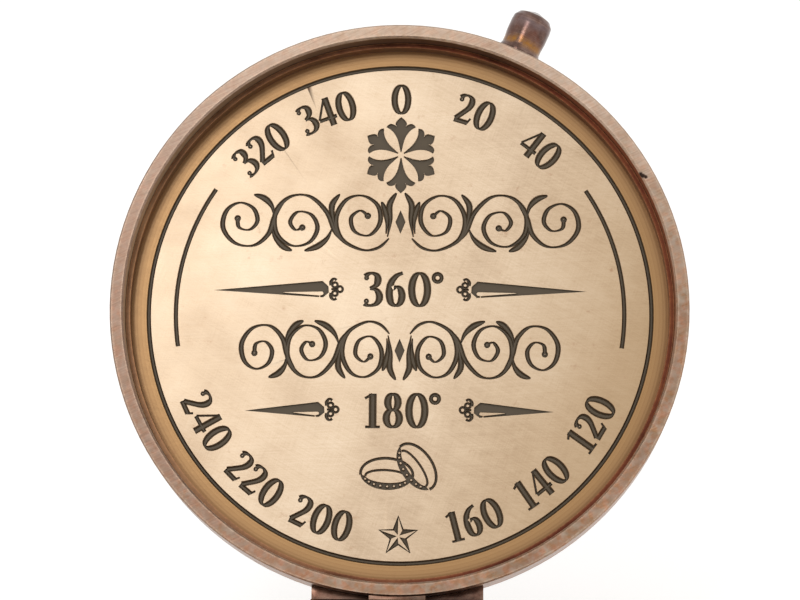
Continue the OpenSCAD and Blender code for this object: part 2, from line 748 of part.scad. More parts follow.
module lid_knob() color("#5c4436") on_lid() at_knob() {
    translate([0, 0, case_r + knob_seat]) turned([[0, 0], [knob_foot_d / 2, 0],
        [knob_foot_d / 2, knob_foot_share * knob_l], [knob_neck_d / 2, knob_neck_share * knob_l],
        [knob_d / 2, knob_full_share * knob_l],
        [knob_shoulder_d_share * knob_d / 2, knob_shoulder_share * knob_l],
        [knob_face_d_share * knob_d / 2, knob_bevel_share * knob_l], [0, knob_l]]);
    translate([0, 0, case_r - knob_shank_l])
        cylinder(r = knob_shank_d / 2, h = knob_shank_l + knob_foot_share * knob_l,
            $fn = small_fn);
}

module lid_hinge_leaf() color("#6f4e3a") on_lid() lid_hinge_side() difference() {
    half = mid_knuckle_w / 2 - knuckle_gap;
    union() {
        leaf_block(-hinge_w / 2, hinge_w / 2, leaf_drop, leaf_drop + leaf_h);
        leaf_block(-half, half, 0, leaf_drop + leaf_h);
        knuckle(-half, half);
    }
    pin_bore();
    at_leaf_screws(leaf_drop + leaf_h / 2)
        flush_seat(leaf_screw_d, leaf_screw_head_d, leaf_screw_l);
}

module lid_hinge_screws() color("#8a6a43") on_lid() lid_hinge_side()
    at_leaf_screws(leaf_drop + leaf_h / 2)
        flush_screw(leaf_screw_d, leaf_screw_head_d, leaf_screw_l);

// Engraved plate: every line is cut to one depth

module lid_plate() color("#e3cba4") on_lid() difference() {
    translate([0, 0, back_z]) cylinder(r = plate_r, h = plate_t, $fn = turn_fn);
    engraved() {
        difference() {
            circle(r = groove_r + line_w / 2, $fn = turn_fn);
            circle(r = groove_r - line_w / 2, $fn = turn_fn);
        }
        for (side = [0, 1]) mirror([side, 0]) side_arc();
        translate([0, rosette_v]) rosette();
        for (side = [0, 1]) mirror([side, 0]) {
            translate([-divider_inner_u, divider_v]) divider();
            translate([-low_divider_inner_u, low_divider_v]) scale(divider_scale_share) divider();
        }
        translate([link_u, link_v]) rotate(link_steep_turn) link();
        translate([-link_u, link_v]) rotate(link_flat_turn) link();
        translate([0, star_v]) star_facets();
    }
}

// Cuts each child into the face of the plate
module engraved() for (i = [0 : $children - 1]) translate([0, 0, plate_z - cut_depth])
    linear_extrude(cut_depth + overrun) children(i);

module side_arc() polygon(concat(
    arc(0, 0, side_arc_r + line_w / 2, 90 + side_arc_start, 90 + side_arc_end, 3 * arc_steps),
    arc(0, 0, side_arc_r - line_w / 2, 90 + side_arc_end, 90 + side_arc_start, 3 * arc_steps)));

// Six lilies between six petals; the petals are left standing
module rosette() difference() {
    union() for (i = [0 : rosette_petals - 1])
        rotate(90 + 360 * i / rosette_petals) lily();
    for (i = [0 : rosette_petals - 1]) rotate(360 * i / rosette_petals) petal();
}

module lily() polygon([[lily_hub_share * rosette_r, 0],
    polar(lily_side_share, lily_side_angle + lily_notch_angle / 2),
    polar(lily_side_share, lily_side_angle - lily_notch_angle / 2),
    polar(lily_notch_share, lily_notch_angle), polar(lily_side_share, lily_notch_angle / 2),
    [rosette_r, 0], polar(lily_side_share, -lily_notch_angle / 2),
    polar(lily_notch_share, -lily_notch_angle),
    polar(lily_side_share, lily_notch_angle / 2 - lily_side_angle),
    polar(lily_side_share, -lily_side_angle - lily_notch_angle / 2)]);

function polar(share, angle) = rosette_r * share * [cos(angle), sin(angle)];

module petal() {
    l = petal_share * rosette_r;
    w = petal_w_share * rosette_r;
    polygon([for (i = [0 : 2 * arc_steps]) let (t = i / arc_steps, s = t <= 1 ? t : 2 - t)
        [petal_root_share * rosette_r + (l - petal_root_share * rosette_r) * s,
         (t <= 1 ? 1 : -1) * w / 2 * sin(180 * pow(s, petal_belly))]]);
}

// Tapered divider with a narrow bar left standing in its lower half, and a small crown
module divider() {
    cut = divider_cut_share * divider_w;
    bar = divider_bar_share * divider_w;
    difference() {
        polygon([[-divider_l, 0], [-cut, divider_w / 2], [0, divider_w / 2 - cut],
            [0, cut - divider_w / 2], [-cut, -divider_w / 2]]);
        polygon([[-divider_slot_share * divider_l, -bar / 2], [-cut, -bar / 2], [-cut, -1.5 * bar]]);
    }
    for (a = [-fleuron_spread, 0, fleuron_spread])
        translate([fleuron_r * cos(a) + fleuron_r / 2, fleuron_r * sin(a)])
            circle(r = fleuron_lobe_share * fleuron_r, $fn = small_fn);
}

module link() difference() {
    polygon(ellipse(link_a, link_b));
    polygon(ellipse(link_a - link_line_share * link_a, link_b - link_line_share * link_a));
}

// A sunk facet in each point of the star, round a small hub
module star_facets() {
    half_turn = [cos(180 / star_points), sin(180 / star_points)];
    for (i = [0 : star_points - 1]) rotate(90 + 360 * i / star_points)
        polygon([[star_hub_share * star_r, 0], [star_r, 0], star_waist_share * star_r * half_turn,
            star_hub_share * star_r * half_turn]);
}

base_case();
dial_plate();
chapter_ring();
dial_screws();
pivot_post();
pivot_point();
fulcrum_bracket();
bracket_screws();
fulcrum_pin();
return_spring();
spring_screw();
glass_retainer();
compass_glass();
glass_gasket();
bezel();
base_hinge_leaf();
base_hinge_screws();
hinge_pin();
lifter_pin();
lifter_lever();
lift_collar();
needle();
needle_cap();
cap_jewel();
needle_balance();
lid_shell();
lid_plate();
plate_ring();
lid_knob();
lid_hinge_leaf();
lid_hinge_screws();
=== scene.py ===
import math
from functools import partial

import bmesh
import bpy
from mathutils import Matrix, Vector


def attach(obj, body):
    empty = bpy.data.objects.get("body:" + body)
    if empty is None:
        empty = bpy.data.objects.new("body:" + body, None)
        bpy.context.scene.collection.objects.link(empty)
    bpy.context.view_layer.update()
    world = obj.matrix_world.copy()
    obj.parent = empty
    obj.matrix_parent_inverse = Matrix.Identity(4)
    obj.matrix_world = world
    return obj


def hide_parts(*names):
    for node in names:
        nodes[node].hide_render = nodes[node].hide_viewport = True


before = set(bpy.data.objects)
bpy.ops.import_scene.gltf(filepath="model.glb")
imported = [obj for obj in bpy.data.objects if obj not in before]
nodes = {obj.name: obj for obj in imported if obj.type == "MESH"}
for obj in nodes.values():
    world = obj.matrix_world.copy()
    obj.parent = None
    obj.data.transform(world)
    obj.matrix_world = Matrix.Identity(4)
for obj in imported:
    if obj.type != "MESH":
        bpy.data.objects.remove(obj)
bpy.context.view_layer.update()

mm = 0.001
scene = bpy.context.scene

# Where the open lid is: in its own frame the rim is at zero, the recess goes down and +Y leaves the hinge
lid = {
    "hingeY": 39.9,
    "hingeZ": 16.0,
    "openAngle": 115,
    "closeGap": 0.06,
    "plateFace": -5.0,
}
lidPlace = (
    Matrix.Translation((0, lid["hingeY"], lid["hingeZ"]))
    @ Matrix.Rotation(math.radians(-lid["openAngle"]), 4, "X")
    @ Matrix.Translation((0, -lid["hingeY"], lid["closeGap"]))
    @ Matrix.Rotation(math.pi, 4, "X")
)
toMetres = Matrix.Scale(mm, 4)


def selectNone():
    if bpy.context.object and bpy.context.object.mode != "OBJECT":
        bpy.ops.object.mode_set(mode="OBJECT")
    bpy.ops.object.select_all(action="DESELECT")


def activate(piece):
    selectNone()
    piece.select_set(True)
    bpy.context.view_layer.objects.active = piece


# Edit mode with all of the active piece selected
def editAll():
    bpy.ops.object.mode_set(mode="EDIT")
    bpy.ops.mesh.select_all(action="SELECT")


def addObject(name, data):
    thing = bpy.data.objects.new(name, data)
    scene.collection.objects.link(thing)
    return thing


def applyModifier(piece, kind, **settings):
    activate(piece)
    modifier = piece.modifiers.new(kind.title(), kind)
    for name, value in settings.items():
        setattr(modifier, name, value)
    bpy.ops.object.modifier_apply(modifier=modifier.name)


# Puts a piece's place, and a further one, into its mesh; the object ends at the origin
def place(piece, matrix=Matrix.Identity(4)):
    piece.data.transform(matrix @ piece.matrix_basis)
    piece.matrix_basis = Matrix.Identity(4)
    piece.data.update()


def finishPiece(piece, body, material, replaced, smoothBelow=35):
    activate(piece)
    if smoothBelow:
        bpy.ops.object.shade_smooth_by_angle(angle=math.radians(smoothBelow))
    piece.data.materials.clear()
    piece.data.materials.append(material)
    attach(piece, body)
    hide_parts(*replaced)
    print("piece", piece.name, len(piece.data.polygons), "faces")


def linear(hexColour):
    channels = [int(hexColour[i:i + 2], 16) / 255 for i in (1, 3, 5)]
    return tuple(c / 12.92 if c <= 0.04045 else ((c + 0.055) / 1.055) ** 2.4 for c in channels) + (1,)


# Adds a node, sets or links its inputs by name or number, and gives back one output, or all of them
def addNode(tree, kind, inputs=(), out=0, ramp=(), **settings):
    node = tree.nodes.new("ShaderNode" + kind)
    for name, value in settings.items():
        setattr(node, name, value)
    if ramp:
        stops = node.color_ramp.elements
        while len(stops) < len(ramp):
            stops.new(1)
        for stop, (position, colour) in zip(stops, ramp):
            stop.position = position
            stop.color = linear(colour)
    for name, value in (inputs.items() if isinstance(inputs, dict) else enumerate(inputs)):
        if isinstance(value, bpy.types.NodeSocket):
            tree.links.new(value, node.inputs[name])
        else:
            node.inputs[name].default_value = value
    return node.outputs if out is None else node.outputs[out]


def newMaterial(name):
    material = bpy.data.materials.new(name)
    material.use_nodes = True
    material.node_tree.nodes.clear()
    return material, partial(addNode, material.node_tree)


# A noise scale that gives grains of about this size
def perMetre(sizeInMm):
    return 1 / (sizeInMm * mm)


# Object coordinates, or the same seen from a piece's own frame, which is given in mm
def coordinates(add, own=None):
    spot = add("TexCoord", out="Object")
    if own:
        back = (toMetres @ own @ toMetres.inverted()).inverted()
        spot = add("Mapping", {
            "Vector": spot, "Location": back.to_translation(), "Rotation": back.to_euler("XYZ"),
        })
    return spot


# A new material, and where a point is: the spot, its places along X and Z, and its distance from Z
def startMaterial(name, own):
    material, add = newMaterial(name)
    spot = coordinates(add, own)
    x, y, z = add("SeparateXYZ", [spot], None)
    radius = add("VectorMath", [add("CombineXYZ", [x, y])], "Value", operation="LENGTH")
    return material, add, spot, x, z, radius


# Lays the layers, which are (share, colour), over the first colour, and joins all in the shader
def finishMaterial(add, s, form, colour, layers, rough, metallic, height):
    for share, above in layers:
        colour = add("Mix", {0: share, 6: colour, 7: above}, 2, data_type="RGBA")
    add("OutputMaterial", [add("BsdfPrincipled", {
        "Base Color": colour,
        "Roughness": rough,
        "Metallic": metallic,
        "Normal": add("Bump", {"Strength": s["bump"], "Distance": form["bumpMm"] * mm, "Height": height}),
        "Coat Weight": s["lacquer"],
        "Coat Roughness": form["coatRough"],
    })], None)


hairStretch = 25            # a hairline is this much longer than it is wide


# Hairlines of a given width that run one way; turn is their direction about the piece's own upright axis
def hairlines(add, spot, turn, wideMm):
    along = add("Mapping", {"Vector": spot, "Rotation": (0, 0, turn), "Scale": (hairStretch, 1, 1)},
                vector_type="TEXTURE")
    return add("TexNoise", {"Vector": along, "Scale": perMetre(wideMm), "Detail": 2.0, "Roughness": 0.6})


farOff = 900                # mm, past every edge of the object, so a limit there is none

# What all the metals share: where their tones lie in the noise, which gathers about a half, and the limits
# between which a patch, a corner, an edge or a dull spot goes from nothing to full
metalForm = {
    "toneStops": (0.36, 0.5, 0.64), "speckShare": 0.18, "fadeMm": 0.1, "patch": (0.4, 0.58),
    "corner": (0.35, 0.9), "edge": (0.995, 0.86), "edgeGrain": (0.35, 0.6, 0.35, 1), "dull": (0.55, 0.95),
    "nickCore": 0.6, "nickRagged": 0.4, "speckHeight": 0.4, "lineHeight": 0.7, "bumpMm": 0.03,
    "coatRough": 0.25,
}


# A hand-finished metal: cloudy patina, fine grain, tool lines, bright edges of wear and painted highlight,
# and grime and painted shade in the corners
def agedMetal(name, s):
    form = metalForm
    material, add, spot, x, z, radius = startMaterial(name, s.get("own"))
    cloud = add("TexNoise", {
        "Vector": spot, "Scale": perMetre(s["cloudMm"]), "Detail": 5.0, "Roughness": 0.6})
    speck = add("TexNoise", {
        "Vector": spot, "Scale": perMetre(s["speckMm"]), "Detail": 3.0, "Roughness": 0.7})
    lines = hairlines(add, spot, s["brushTurn"], s["lineMm"])
    if s["turned"]:             # tool lines run round the axis
        toolLines = add("TexNoise", {
            "Vector": add("CombineXYZ", {"X": radius, "Z": z}), "Scale": perMetre(s["lineMm"]),
            "Detail": 2.0, "Roughness": 0.6})
        rubbed = add("MapRange", [z, s["rubbedAbove"] * mm, (s["rubbedAbove"] + form["fadeMm"]) * mm])
        lines = add("Mix", {0: rubbed, 2: toolLines, 3: lines})

    tone = add("Math", [speck, form["speckShare"]], operation="MULTIPLY")
    tone = add("Math", [lines, s["lineTone"], tone], operation="MULTIPLY_ADD")
    tone = add("Math", [cloud, 1 - form["speckShare"] - s["lineTone"], tone], operation="MULTIPLY_ADD")
    colour = add("ValToRGB", [tone], ramp=list(zip(form["toneStops"], (s["dark"], s["body"], s["light"]))))
    layers = []
    for tint, grainMm, centre, reach, strength in s["tints"]:       # heat or lacquer colours, by height
        grain = add("TexNoise", {"Vector": spot, "Scale": perMetre(grainMm), "Detail": 3.0})
        patch = add("MapRange", [grain, *form["patch"]])
        off = add("Math", [add("Math", [z, centre * mm], operation="SUBTRACT")], operation="ABSOLUTE")
        near = add("MapRange", [off, 0, reach * mm, strength, 0])
        layers.append((add("Math", [patch, near], operation="MULTIPLY"), linear(tint)))
    for side in s["sides"]:                 # a tone that takes over along a direction, with a ragged border
        sideTone = add("ValToRGB", [tone], ramp=list(zip(form["toneStops"], side["tones"])))
        along = add("VectorMath", [spot, side["towards"]], "Value", operation="DOT_PRODUCT")
        ragged = add("Math", [cloud, 0.5], operation="SUBTRACT")
        along = add("Math", [ragged, side["ragged"] * mm, along], operation="MULTIPLY_ADD")
        there = add("MapRange", [along, side["start"] * mm, side["full"] * mm, 0, side["strength"]])
        layers.append((there, sideTone))

    dull = add("Math", [lines, 0.5, cloud], operation="MULTIPLY_ADD")
    rough = add("MapRange", [dull, *form["dull"], *s["rough"]])
    if "recess" in s:           # its wall is matt and pale, with a painted shade over it: dark at the top and red-brown on the right
        wall = s["recess"]
        within = add("MapRange", [z, wall["mouth"] * mm, wall["full"] * mm, 0, 1])
        for measure, end, outside in ((z, wall["floor"], 0), (radius, wall["radius"], 1)):
            limit = add("MapRange", [measure, end * mm, (end + form["fadeMm"]) * mm, outside, 1 - outside])
            within = add("Math", [within, limit], operation="MULTIPLY")
        layers.append((within, linear(wall["body"])))
        shaded = add("VectorMath", [spot, wall["shadedTowards"]], "Value", operation="DOT_PRODUCT")
        shaded = add("MapRange", [
            shaded, wall["shadedFrom"] * mm, wall["shadedTo"] * mm, 0, wall["strength"]])
        warm = add("MapRange", [x, wall["warmFrom"] * mm, wall["warmTo"] * mm])
        shade = add("Mix", {
            0: warm, 6: linear(wall["shade"]), 7: linear(wall["warmShade"])}, 2, data_type="RGBA")
        layers.append((add("Math", [within, shaded], operation="MULTIPLY"), shade))
        rough = add("Mix", {0: within, 2: rough, 3: wall["rough"]})

    # grime and painted shade: darker in corners and hollows, by ambient occlusion
    corner = add("AmbientOcclusion", {"Distance": s["cornerMm"] * mm}, "AO", samples=6)
    layers.append((add("MapRange", [corner, *form["corner"], s["cornerDark"], 0]), linear(s["grimeAndShade"])))
    # paler edges: wear and painted highlight
    rounding = add("Bevel", {"Radius": s["edgeMm"] * mm}, samples=4)
    facing = add("VectorMath", [rounding, add("NewGeometry", out="Normal")], "Value", operation="DOT_PRODUCT")
    wearAndHighlight = add("MapRange", [facing, *form["edge"]])
    wearAndHighlight = add("Math", [wearAndHighlight, add("MapRange", [speck, *form["edgeGrain"]])], operation="MULTIPLY")
    layers.append((add("Math", [wearAndHighlight, s["edgeShine"]], operation="MULTIPLY"), linear(s["edge"])))
    for nickSpot, nickMm in s["nicks"]:     # dents in an edge, drawn as dark spots
        off = add("VectorMath", [spot, [length * mm for length in nickSpot]], "Value", operation="DISTANCE")
        off = add("Math", [speck, form["nickRagged"] * nickMm * mm, off], operation="MULTIPLY_ADD")
        nick = add("MapRange", [off, form["nickCore"] * nickMm * mm, nickMm * mm, 1, 0])
        layers.append((nick, linear(s["grimeAndShade"])))

    height = add("Math", [speck, form["speckHeight"]], operation="MULTIPLY")
    height = add("Math", [lines, form["lineHeight"], height], operation="MULTIPLY_ADD")
    finishMaterial(add, s, form, colour, layers, rough, s["metallic"], height)
    return material


# Antique brass: turned, browned with acid, then rubbed by hand and lacquered. It gives a satin brown
# that is cloudy and turns pinkish grey where it was rubbed, with paler edges of wear and painted highlight.
# Tints are (colour, grain, height, reach, strength); lengths are in mm
antiqueLook = {
    "light": "#b58b6c", "body": "#9c7355", "dark": "#77523c", "grimeAndShade": "#2b1a11", "edge": "#dcc0a8",
    "cloudMm": 7, "speckMm": 0.5, "lineMm": 0.3, "lineTone": 0.24, "turned": True, "rubbedAbove": farOff,
    "brushTurn": 0.45, "rough": (0.3, 0.46), "bump": 0.25, "metallic": 1.0, "lacquer": 0.25,
    "cornerMm": 1.6, "cornerDark": 0.7, "edgeMm": 0.25, "edgeShine": 0.7,
    "tints": (("#a0674f", 2.8, 0, farOff, 0.22), ("#7d6a5c", 1.4, 0, farOff, 0.4)), "sides": (), "nicks": (),
}
rubbedPatches = {"tones": ("#86695a", "#a48673", "#bb9f8a"), "towards": (0, 0, 0), "ragged": 60,
                 "start": -10, "full": 14, "strength": 1}
antiqueBrass = agedMetal("antique brass", dict(antiqueLook, sides=[rubbedPatches]))

# The same brass on the lid, whose flat rim was rubbed on abrasive paper: hairlines slant across it.
# It is paler at the top, a painted sheen, and greyer and darker on the left, a painted shade. A small nick
# shows in its inner edge
rubbedBrass = agedMetal("rubbed antique brass", dict(
    antiqueLook, own=lidPlace, rubbedAbove=-0.3, lineMm=0.2, lineTone=0.4, bump=0.6, edgeMm=0.42,
    cornerDark=0.5,
    tints=(("#a47a68", 1.1, 0, 0.7, 0.4), ("#9b9486", 0.9, 0, 0.7, 0.6), ("#7a5c3c", 1.3, 0, 0.7, 0.5),
           ("#a0674f", 2.8, -4, farOff, 0.22), ("#7d6a5c", 1.8, -4, farOff, 0.25)),
    # the recess wall's painted shade: dark at the top, red-brown towards the right
    recess={"mouth": -0.35, "full": -0.6, "floor": -6.4, "radius": 36.4, "body": "#c6a98b", "rough": 0.75,
            "shade": "#45230f", "shadedTowards": (0.6, 0.8, 0), "shadedFrom": -14, "shadedTo": 30,
            "strength": 0.87, "warmShade": "#8f4c30", "warmFrom": 12, "warmTo": 26},
    nicks=(((31.2, 17.5, 0), 0.6), ((31.55, 17.35, 0), 0.5), ((31.9, 17.2, 0), 0.4)),
    # painted sheen: paler towards the top; painted shade: greyer and darker towards the left
    sides=[{"tones": ("#9b8775", "#bda794", "#d6c3b1"), "towards": (0, 1, 0), "ragged": 20,
            "start": 0, "full": 26, "strength": 0.5},
           {"tones": ("#655045", "#7c6355", "#957c6c"), "towards": (-1, 0, 0), "ragged": 16,
            "start": 8, "full": 30, "strength": 0.6}]))

# Turned brass of the works: yellower and cleaner, with fine lathe lines
turnedLook = dict(
    antiqueLook, tints=(), light="#dfbd80", body="#cba364", dark="#a88048", edge="#f0d29a", cloudMm=5,
    lineMm=0.2, cornerDark=0.5, edgeMm=0.1, lacquer=0.0)
turnedBrass = agedMetal("turned brass", turnedLook)

# Cast bronze with a dark chemical patina, half gloss: the hinge's leaves
darkBronze = agedMetal("dark bronze", dict(
    antiqueLook, light="#8b6c5b", body="#67493b", dark="#3f2b23", grimeAndShade="#170f0b", edge="#a98366",
    rough=(0.24, 0.42), turned=False, lineMm=0.25, edgeShine=0.5, cloudMm=4))

# Copper-red brass of the ring that holds the plate: turned and dark with age; lighter and browner on the
# left, where light is painted
copperBrass = agedMetal("copper brass", dict(
    antiqueLook, own=lidPlace, light="#824a30", body="#673524", dark="#442012", edge="#b07c54",
    cornerDark=0.4, lacquer=0.1, tints=(),
    # painted light: a lighter, browner tone towards the left
    sides=[{"tones": ("#5c432f", "#86654a", "#a07c5a"), "towards": (-1, 0, 0), "ragged": 10,
            "start": -5, "full": 25, "strength": 0.85}]))

# Brass screws, darkened with the case: slots stay dark and heads are rubbed
screwBrass = agedMetal("darkened screw brass", dict(
    antiqueLook, light="#a98660", body="#8c6a47", dark="#5e442c", edge="#cfa878", turned=False,
    edgeMm=0.08, cloudMm=1.5))

# Plain turned steel: neutral grey with a fine grain
steelLook = dict(
    antiqueLook, tints=(), light="#bcbdc0", body="#a0a1a5", dark="#797a7e", grimeAndShade="#26231f", edge="#d6d7da",
    cornerDark=0.4, lineMm=0.15, edgeMm=0.08, lacquer=0.0, turned=False, cloudMm=3)
plainSteel = agedMetal("plain steel", steelLook)

# Heat-blued steel of the needle's north half; its south half is bright ground steel
needleSteel = agedMetal("blued needle steel", dict(
    steelLook, light="#41609f", body="#2f4a86", dark="#23355f", grimeAndShade="#0c1020", edge="#8fa3cc",
    rough=(0.16, 0.28), cloudMm=5, lineMm=0.1, brushTurn=math.pi / 2,
    sides=[{"tones": ("#8b8d92", "#adafb3", "#c9cbce"), "towards": (0, -1, 0), "ragged": 0,
            "start": -0.03, "full": 0.03, "strength": 1}]))

# Rolled phosphor bronze of the spring: reddish and smooth
springBronze = agedMetal("rolled phosphor bronze", dict(
    turnedLook, light="#d59a62", body="#c0834a", dark="#8f5c33", edge="#e8b98a", turned=False, brushTurn=0.0))

# Moulded black rubber: matt, with a faint bloom
rubber = agedMetal("moulded rubber", dict(
    antiqueLook, tints=(), light="#33302e", body="#252322", dark="#191817", grimeAndShade="#0c0b0b", edge="#3a3734",
    rough=(0.6, 0.75), metallic=0.0, lacquer=0.0, bump=0.1))

# Synthetic ruby of the bearing: deep red and polished
ruby = agedMetal("synthetic ruby", dict(
    antiqueLook, tints=(), light="#c22a44", body="#a81e38", dark="#7c1226", grimeAndShade="#3c0812", edge="#e06a80",
    rough=(0.06, 0.1), metallic=0.0, lacquer=0.0, bump=0.0, turned=False))

# Flat crown glass: clear, with the faintest green of iron and some smears
glassLook = {"colour": "#fcfefd", "smearMm": 9, "smears": (0.45, 0.75), "rough": (0.005, 0.06), "ior": 1.5}
glass, add = newMaterial("crown glass")
smear = add("TexNoise", {"Vector": coordinates(add), "Scale": perMetre(glassLook["smearMm"]), "Detail": 4.0})
add("OutputMaterial", [add("BsdfPrincipled", {
    "Base Color": linear(glassLook["colour"]), "IOR": glassLook["ior"], "Transmission Weight": 1.0,
    "Roughness": add("MapRange", [smear, *glassLook["smears"], *glassLook["rough"]]),
})], None)

# What the engraved faces have in common; a hairline here is (direction, width)
faceForm = {
    "toneStops": (0.36, 0.5, 0.62), "borderStops": (0.35, 0.65), "wallStops": (0.15, 0.3, 0.6),
    "hairs": ((0.06, 0.12), (1.2, 0.1), (-0.5, 0.16)), "hairRange": (1.1, 1.9),
    "fadeMm": 0.05, "stainMm": 1.6, "stained": (0.62, 0.75, 0, 0.5), "corner": (0.4, 0.85, 0.75, 0),
    "lipFade": 1.8, "fillRough": 0.6, "fillMetal": 0.35, "bumpMm": 0.02, "coatRough": 0.25,
}


# Engraved metal or enamel: brushed face, and below it cuts with brown walls and a darker filled floor
def engravedFace(name, s):
    form = faceForm
    material, add, spot, _, z, radius = startMaterial(name, s.get("own"))
    depth = add("Math", [s["face"] * mm, z], operation="SUBTRACT")
    cloud = add("TexNoise", {
        "Vector": spot, "Scale": perMetre(s["cloudMm"]), "Detail": 6.0, "Roughness": 0.6})
    stain = add("TexNoise", {
        "Vector": spot, "Scale": perMetre(form["stainMm"]), "Detail": 6.0, "Roughness": 0.7})
    brushed, *crossing = [hairlines(add, spot, turn, wideMm) for turn, wideMm in form["hairs"]]
    for hair in crossing:
        brushed = add("Math", [brushed, hair], operation="ADD")

    tone = add("Math", [brushed, s["brushTone"], 0.5 - 1.5 * s["brushTone"]], operation="MULTIPLY_ADD")
    cloud = add("Math", [cloud, 0.5], operation="SUBTRACT")
    tone = add("Math", [cloud, s["cloudTone"], tone], operation="MULTIPLY_ADD")
    colour = add("ValToRGB", [tone], ramp=list(zip(form["toneStops"], (s["dark"], s["body"], s["light"]))))
    layers = []
    if "paintedShade" in s:             # painted shade: the face is darker towards one side
        paintedShade = s["paintedShade"]
        along = add("VectorMath", [spot, paintedShade["towards"]], "Value", operation="DOT_PRODUCT")
        along = add("MapRange", [along, paintedShade["from"] * mm, paintedShade["to"] * mm, 0, paintedShade["strength"]])
        layers.append((along, linear(paintedShade["tone"])))
    if "border" in s:           # it shows the lines of its turning in its own colours, which on the lid's plate are darker partly as painted shade
        border = s["border"]
        toolLines = add("TexNoise", {
            "Vector": add("CombineXYZ", {"X": radius}), "Scale": perMetre(border["lineMm"]), "Detail": 3.0})
        outside = add("MapRange", [radius, border["radius"] * mm, (border["radius"] + form["fadeMm"]) * mm])
        turned = add("ValToRGB", [toolLines], ramp=list(zip(form["borderStops"], border["colours"])))
        layers.append((outside, turned))
    layers.append((add("MapRange", [stain, *form["stained"]]), linear(s["stain"])))
    # grime and painted shade: darker near corners and walls, by ambient occlusion
    corner = add("AmbientOcclusion", {"Distance": s["cornerMm"] * mm}, "AO", samples=6)
    layers.append((add("MapRange", [corner, *form["corner"]]), linear(s["cornerColour"])))
    down = add("MapRange", [depth, 0, s["cutMm"] * mm])
    fill = add("ValToRGB", [down], ramp=list(zip(form["wallStops"], (s["wall"], s["wall"], s["fill"]))))
    filled = add("MapRange", [depth, s["lipMm"] * mm, s["lipMm"] * form["lipFade"] * mm])
    layers.append((filled, fill))

    rough = add("MapRange", [brushed, *form["hairRange"], *s["rough"]])
    rough = add("Mix", {0: filled, 2: rough, 3: form["fillRough"]})
    metallic = s["metallic"]
    if metallic:                # the filling is less of a metal than the face
        metallic = add("MapRange", [filled, 0, 1, metallic, form["fillMetal"] * metallic])
    finishMaterial(add, s, form, colour, layers, rough, metallic, brushed)
    return material


# Pale brass sheet, brushed and engraved; the cuts are blacked. Its border was turned and is darker, partly
# painted shade, and a painted shade darkens the face towards the lower right
engravedBrass = engravedFace("engraved pale brass", {
    "own": lidPlace, "face": lid["plateFace"],
    "cloudMm": 16, "cloudTone": 0.45, "cutMm": 0.35, "lipMm": 0.045,
    "light": "#d6c2a9", "body": "#c6af94", "dark": "#aa9176", "stain": "#94694a",
    "wall": "#46331f", "fill": "#544632",
    # painted shade, darker towards the lower right
    "paintedShade": {"tone": "#9a7a50", "towards": (0.95, -0.3, 0), "from": 8, "to": 34, "strength": 0.64},
    # turned border, darker and more golden: turning lines and partly painted shade
    "border": {"radius": 32.9, "lineMm": 0.35, "colours": ("#947048", "#ab865b")},
    "cornerColour": "#5c3b23", "cornerMm": 3.2,
    "brushTone": 0.14, "rough": (0.3, 0.42), "bump": 0.2, "metallic": 1.0, "lacquer": 0.3,
})

# Fired cream enamel on the dial: glossy and even, with dark blue filled marks
firedEnamel = engravedFace("fired enamel", {
    "face": 9.0, "cloudMm": 9, "cloudTone": 0.5, "cutMm": 0.12, "lipMm": 0.012,
    "light": "#fbf6e8", "body": "#f5eedb", "dark": "#e8dec6", "stain": "#c4ad80",
    "wall": "#2a2c3a", "fill": "#1c2030",
    "cornerColour": "#a08a62", "cornerMm": 2.6,
    "brushTone": 0.03, "rough": (0.12, 0.2), "bump": 0.02, "metallic": 0.0, "lacquer": 0.0,
})

# Satin dial brass of the degree ring: golden and finely grained, with filled graduations
dialBrass = engravedFace("satin dial brass", {
    "face": 9.8, "cloudMm": 9, "cloudTone": 0.6, "cutMm": 0.15, "lipMm": 0.016,
    "light": "#e6c894", "body": "#d6b47c", "dark": "#b48f58", "stain": "#8a6538",
    "wall": "#33261a", "fill": "#1e1814",
    "border": {"radius": 31.0, "lineMm": 0.35, "colours": ("#b08c56", "#c8a468")},
    "cornerColour": "#6f5030", "cornerMm": 2.6,
    "brushTone": 0.12, "rough": (0.3, 0.44), "bump": 0.2, "metallic": 1.0, "lacquer": 0.0,
})
print("materials", len(bpy.data.materials))


# Numerals and letters on a height of 100: strokes of a pen that is wide upright and thin across
pen = {"thin": 3.2, "thick": 10, "contrast": 1.6, "steps": 4, "ovalPoints": 12, "dotPoints": 14,
       "degreeRadius": 11.5, "degreePoints": 20}


# A point at a distance from the middle, at an angle in degrees from the right
def polar(distance, degrees):
    return distance * math.cos(math.radians(degrees)), distance * math.sin(math.radians(degrees))


def oval(x, y, a, b, count=pen["ovalPoints"]):
    turns = [2 * math.pi * i / count for i in range(count)]
    return [(x + a * math.cos(t), y + b * math.sin(t)) for t in turns]


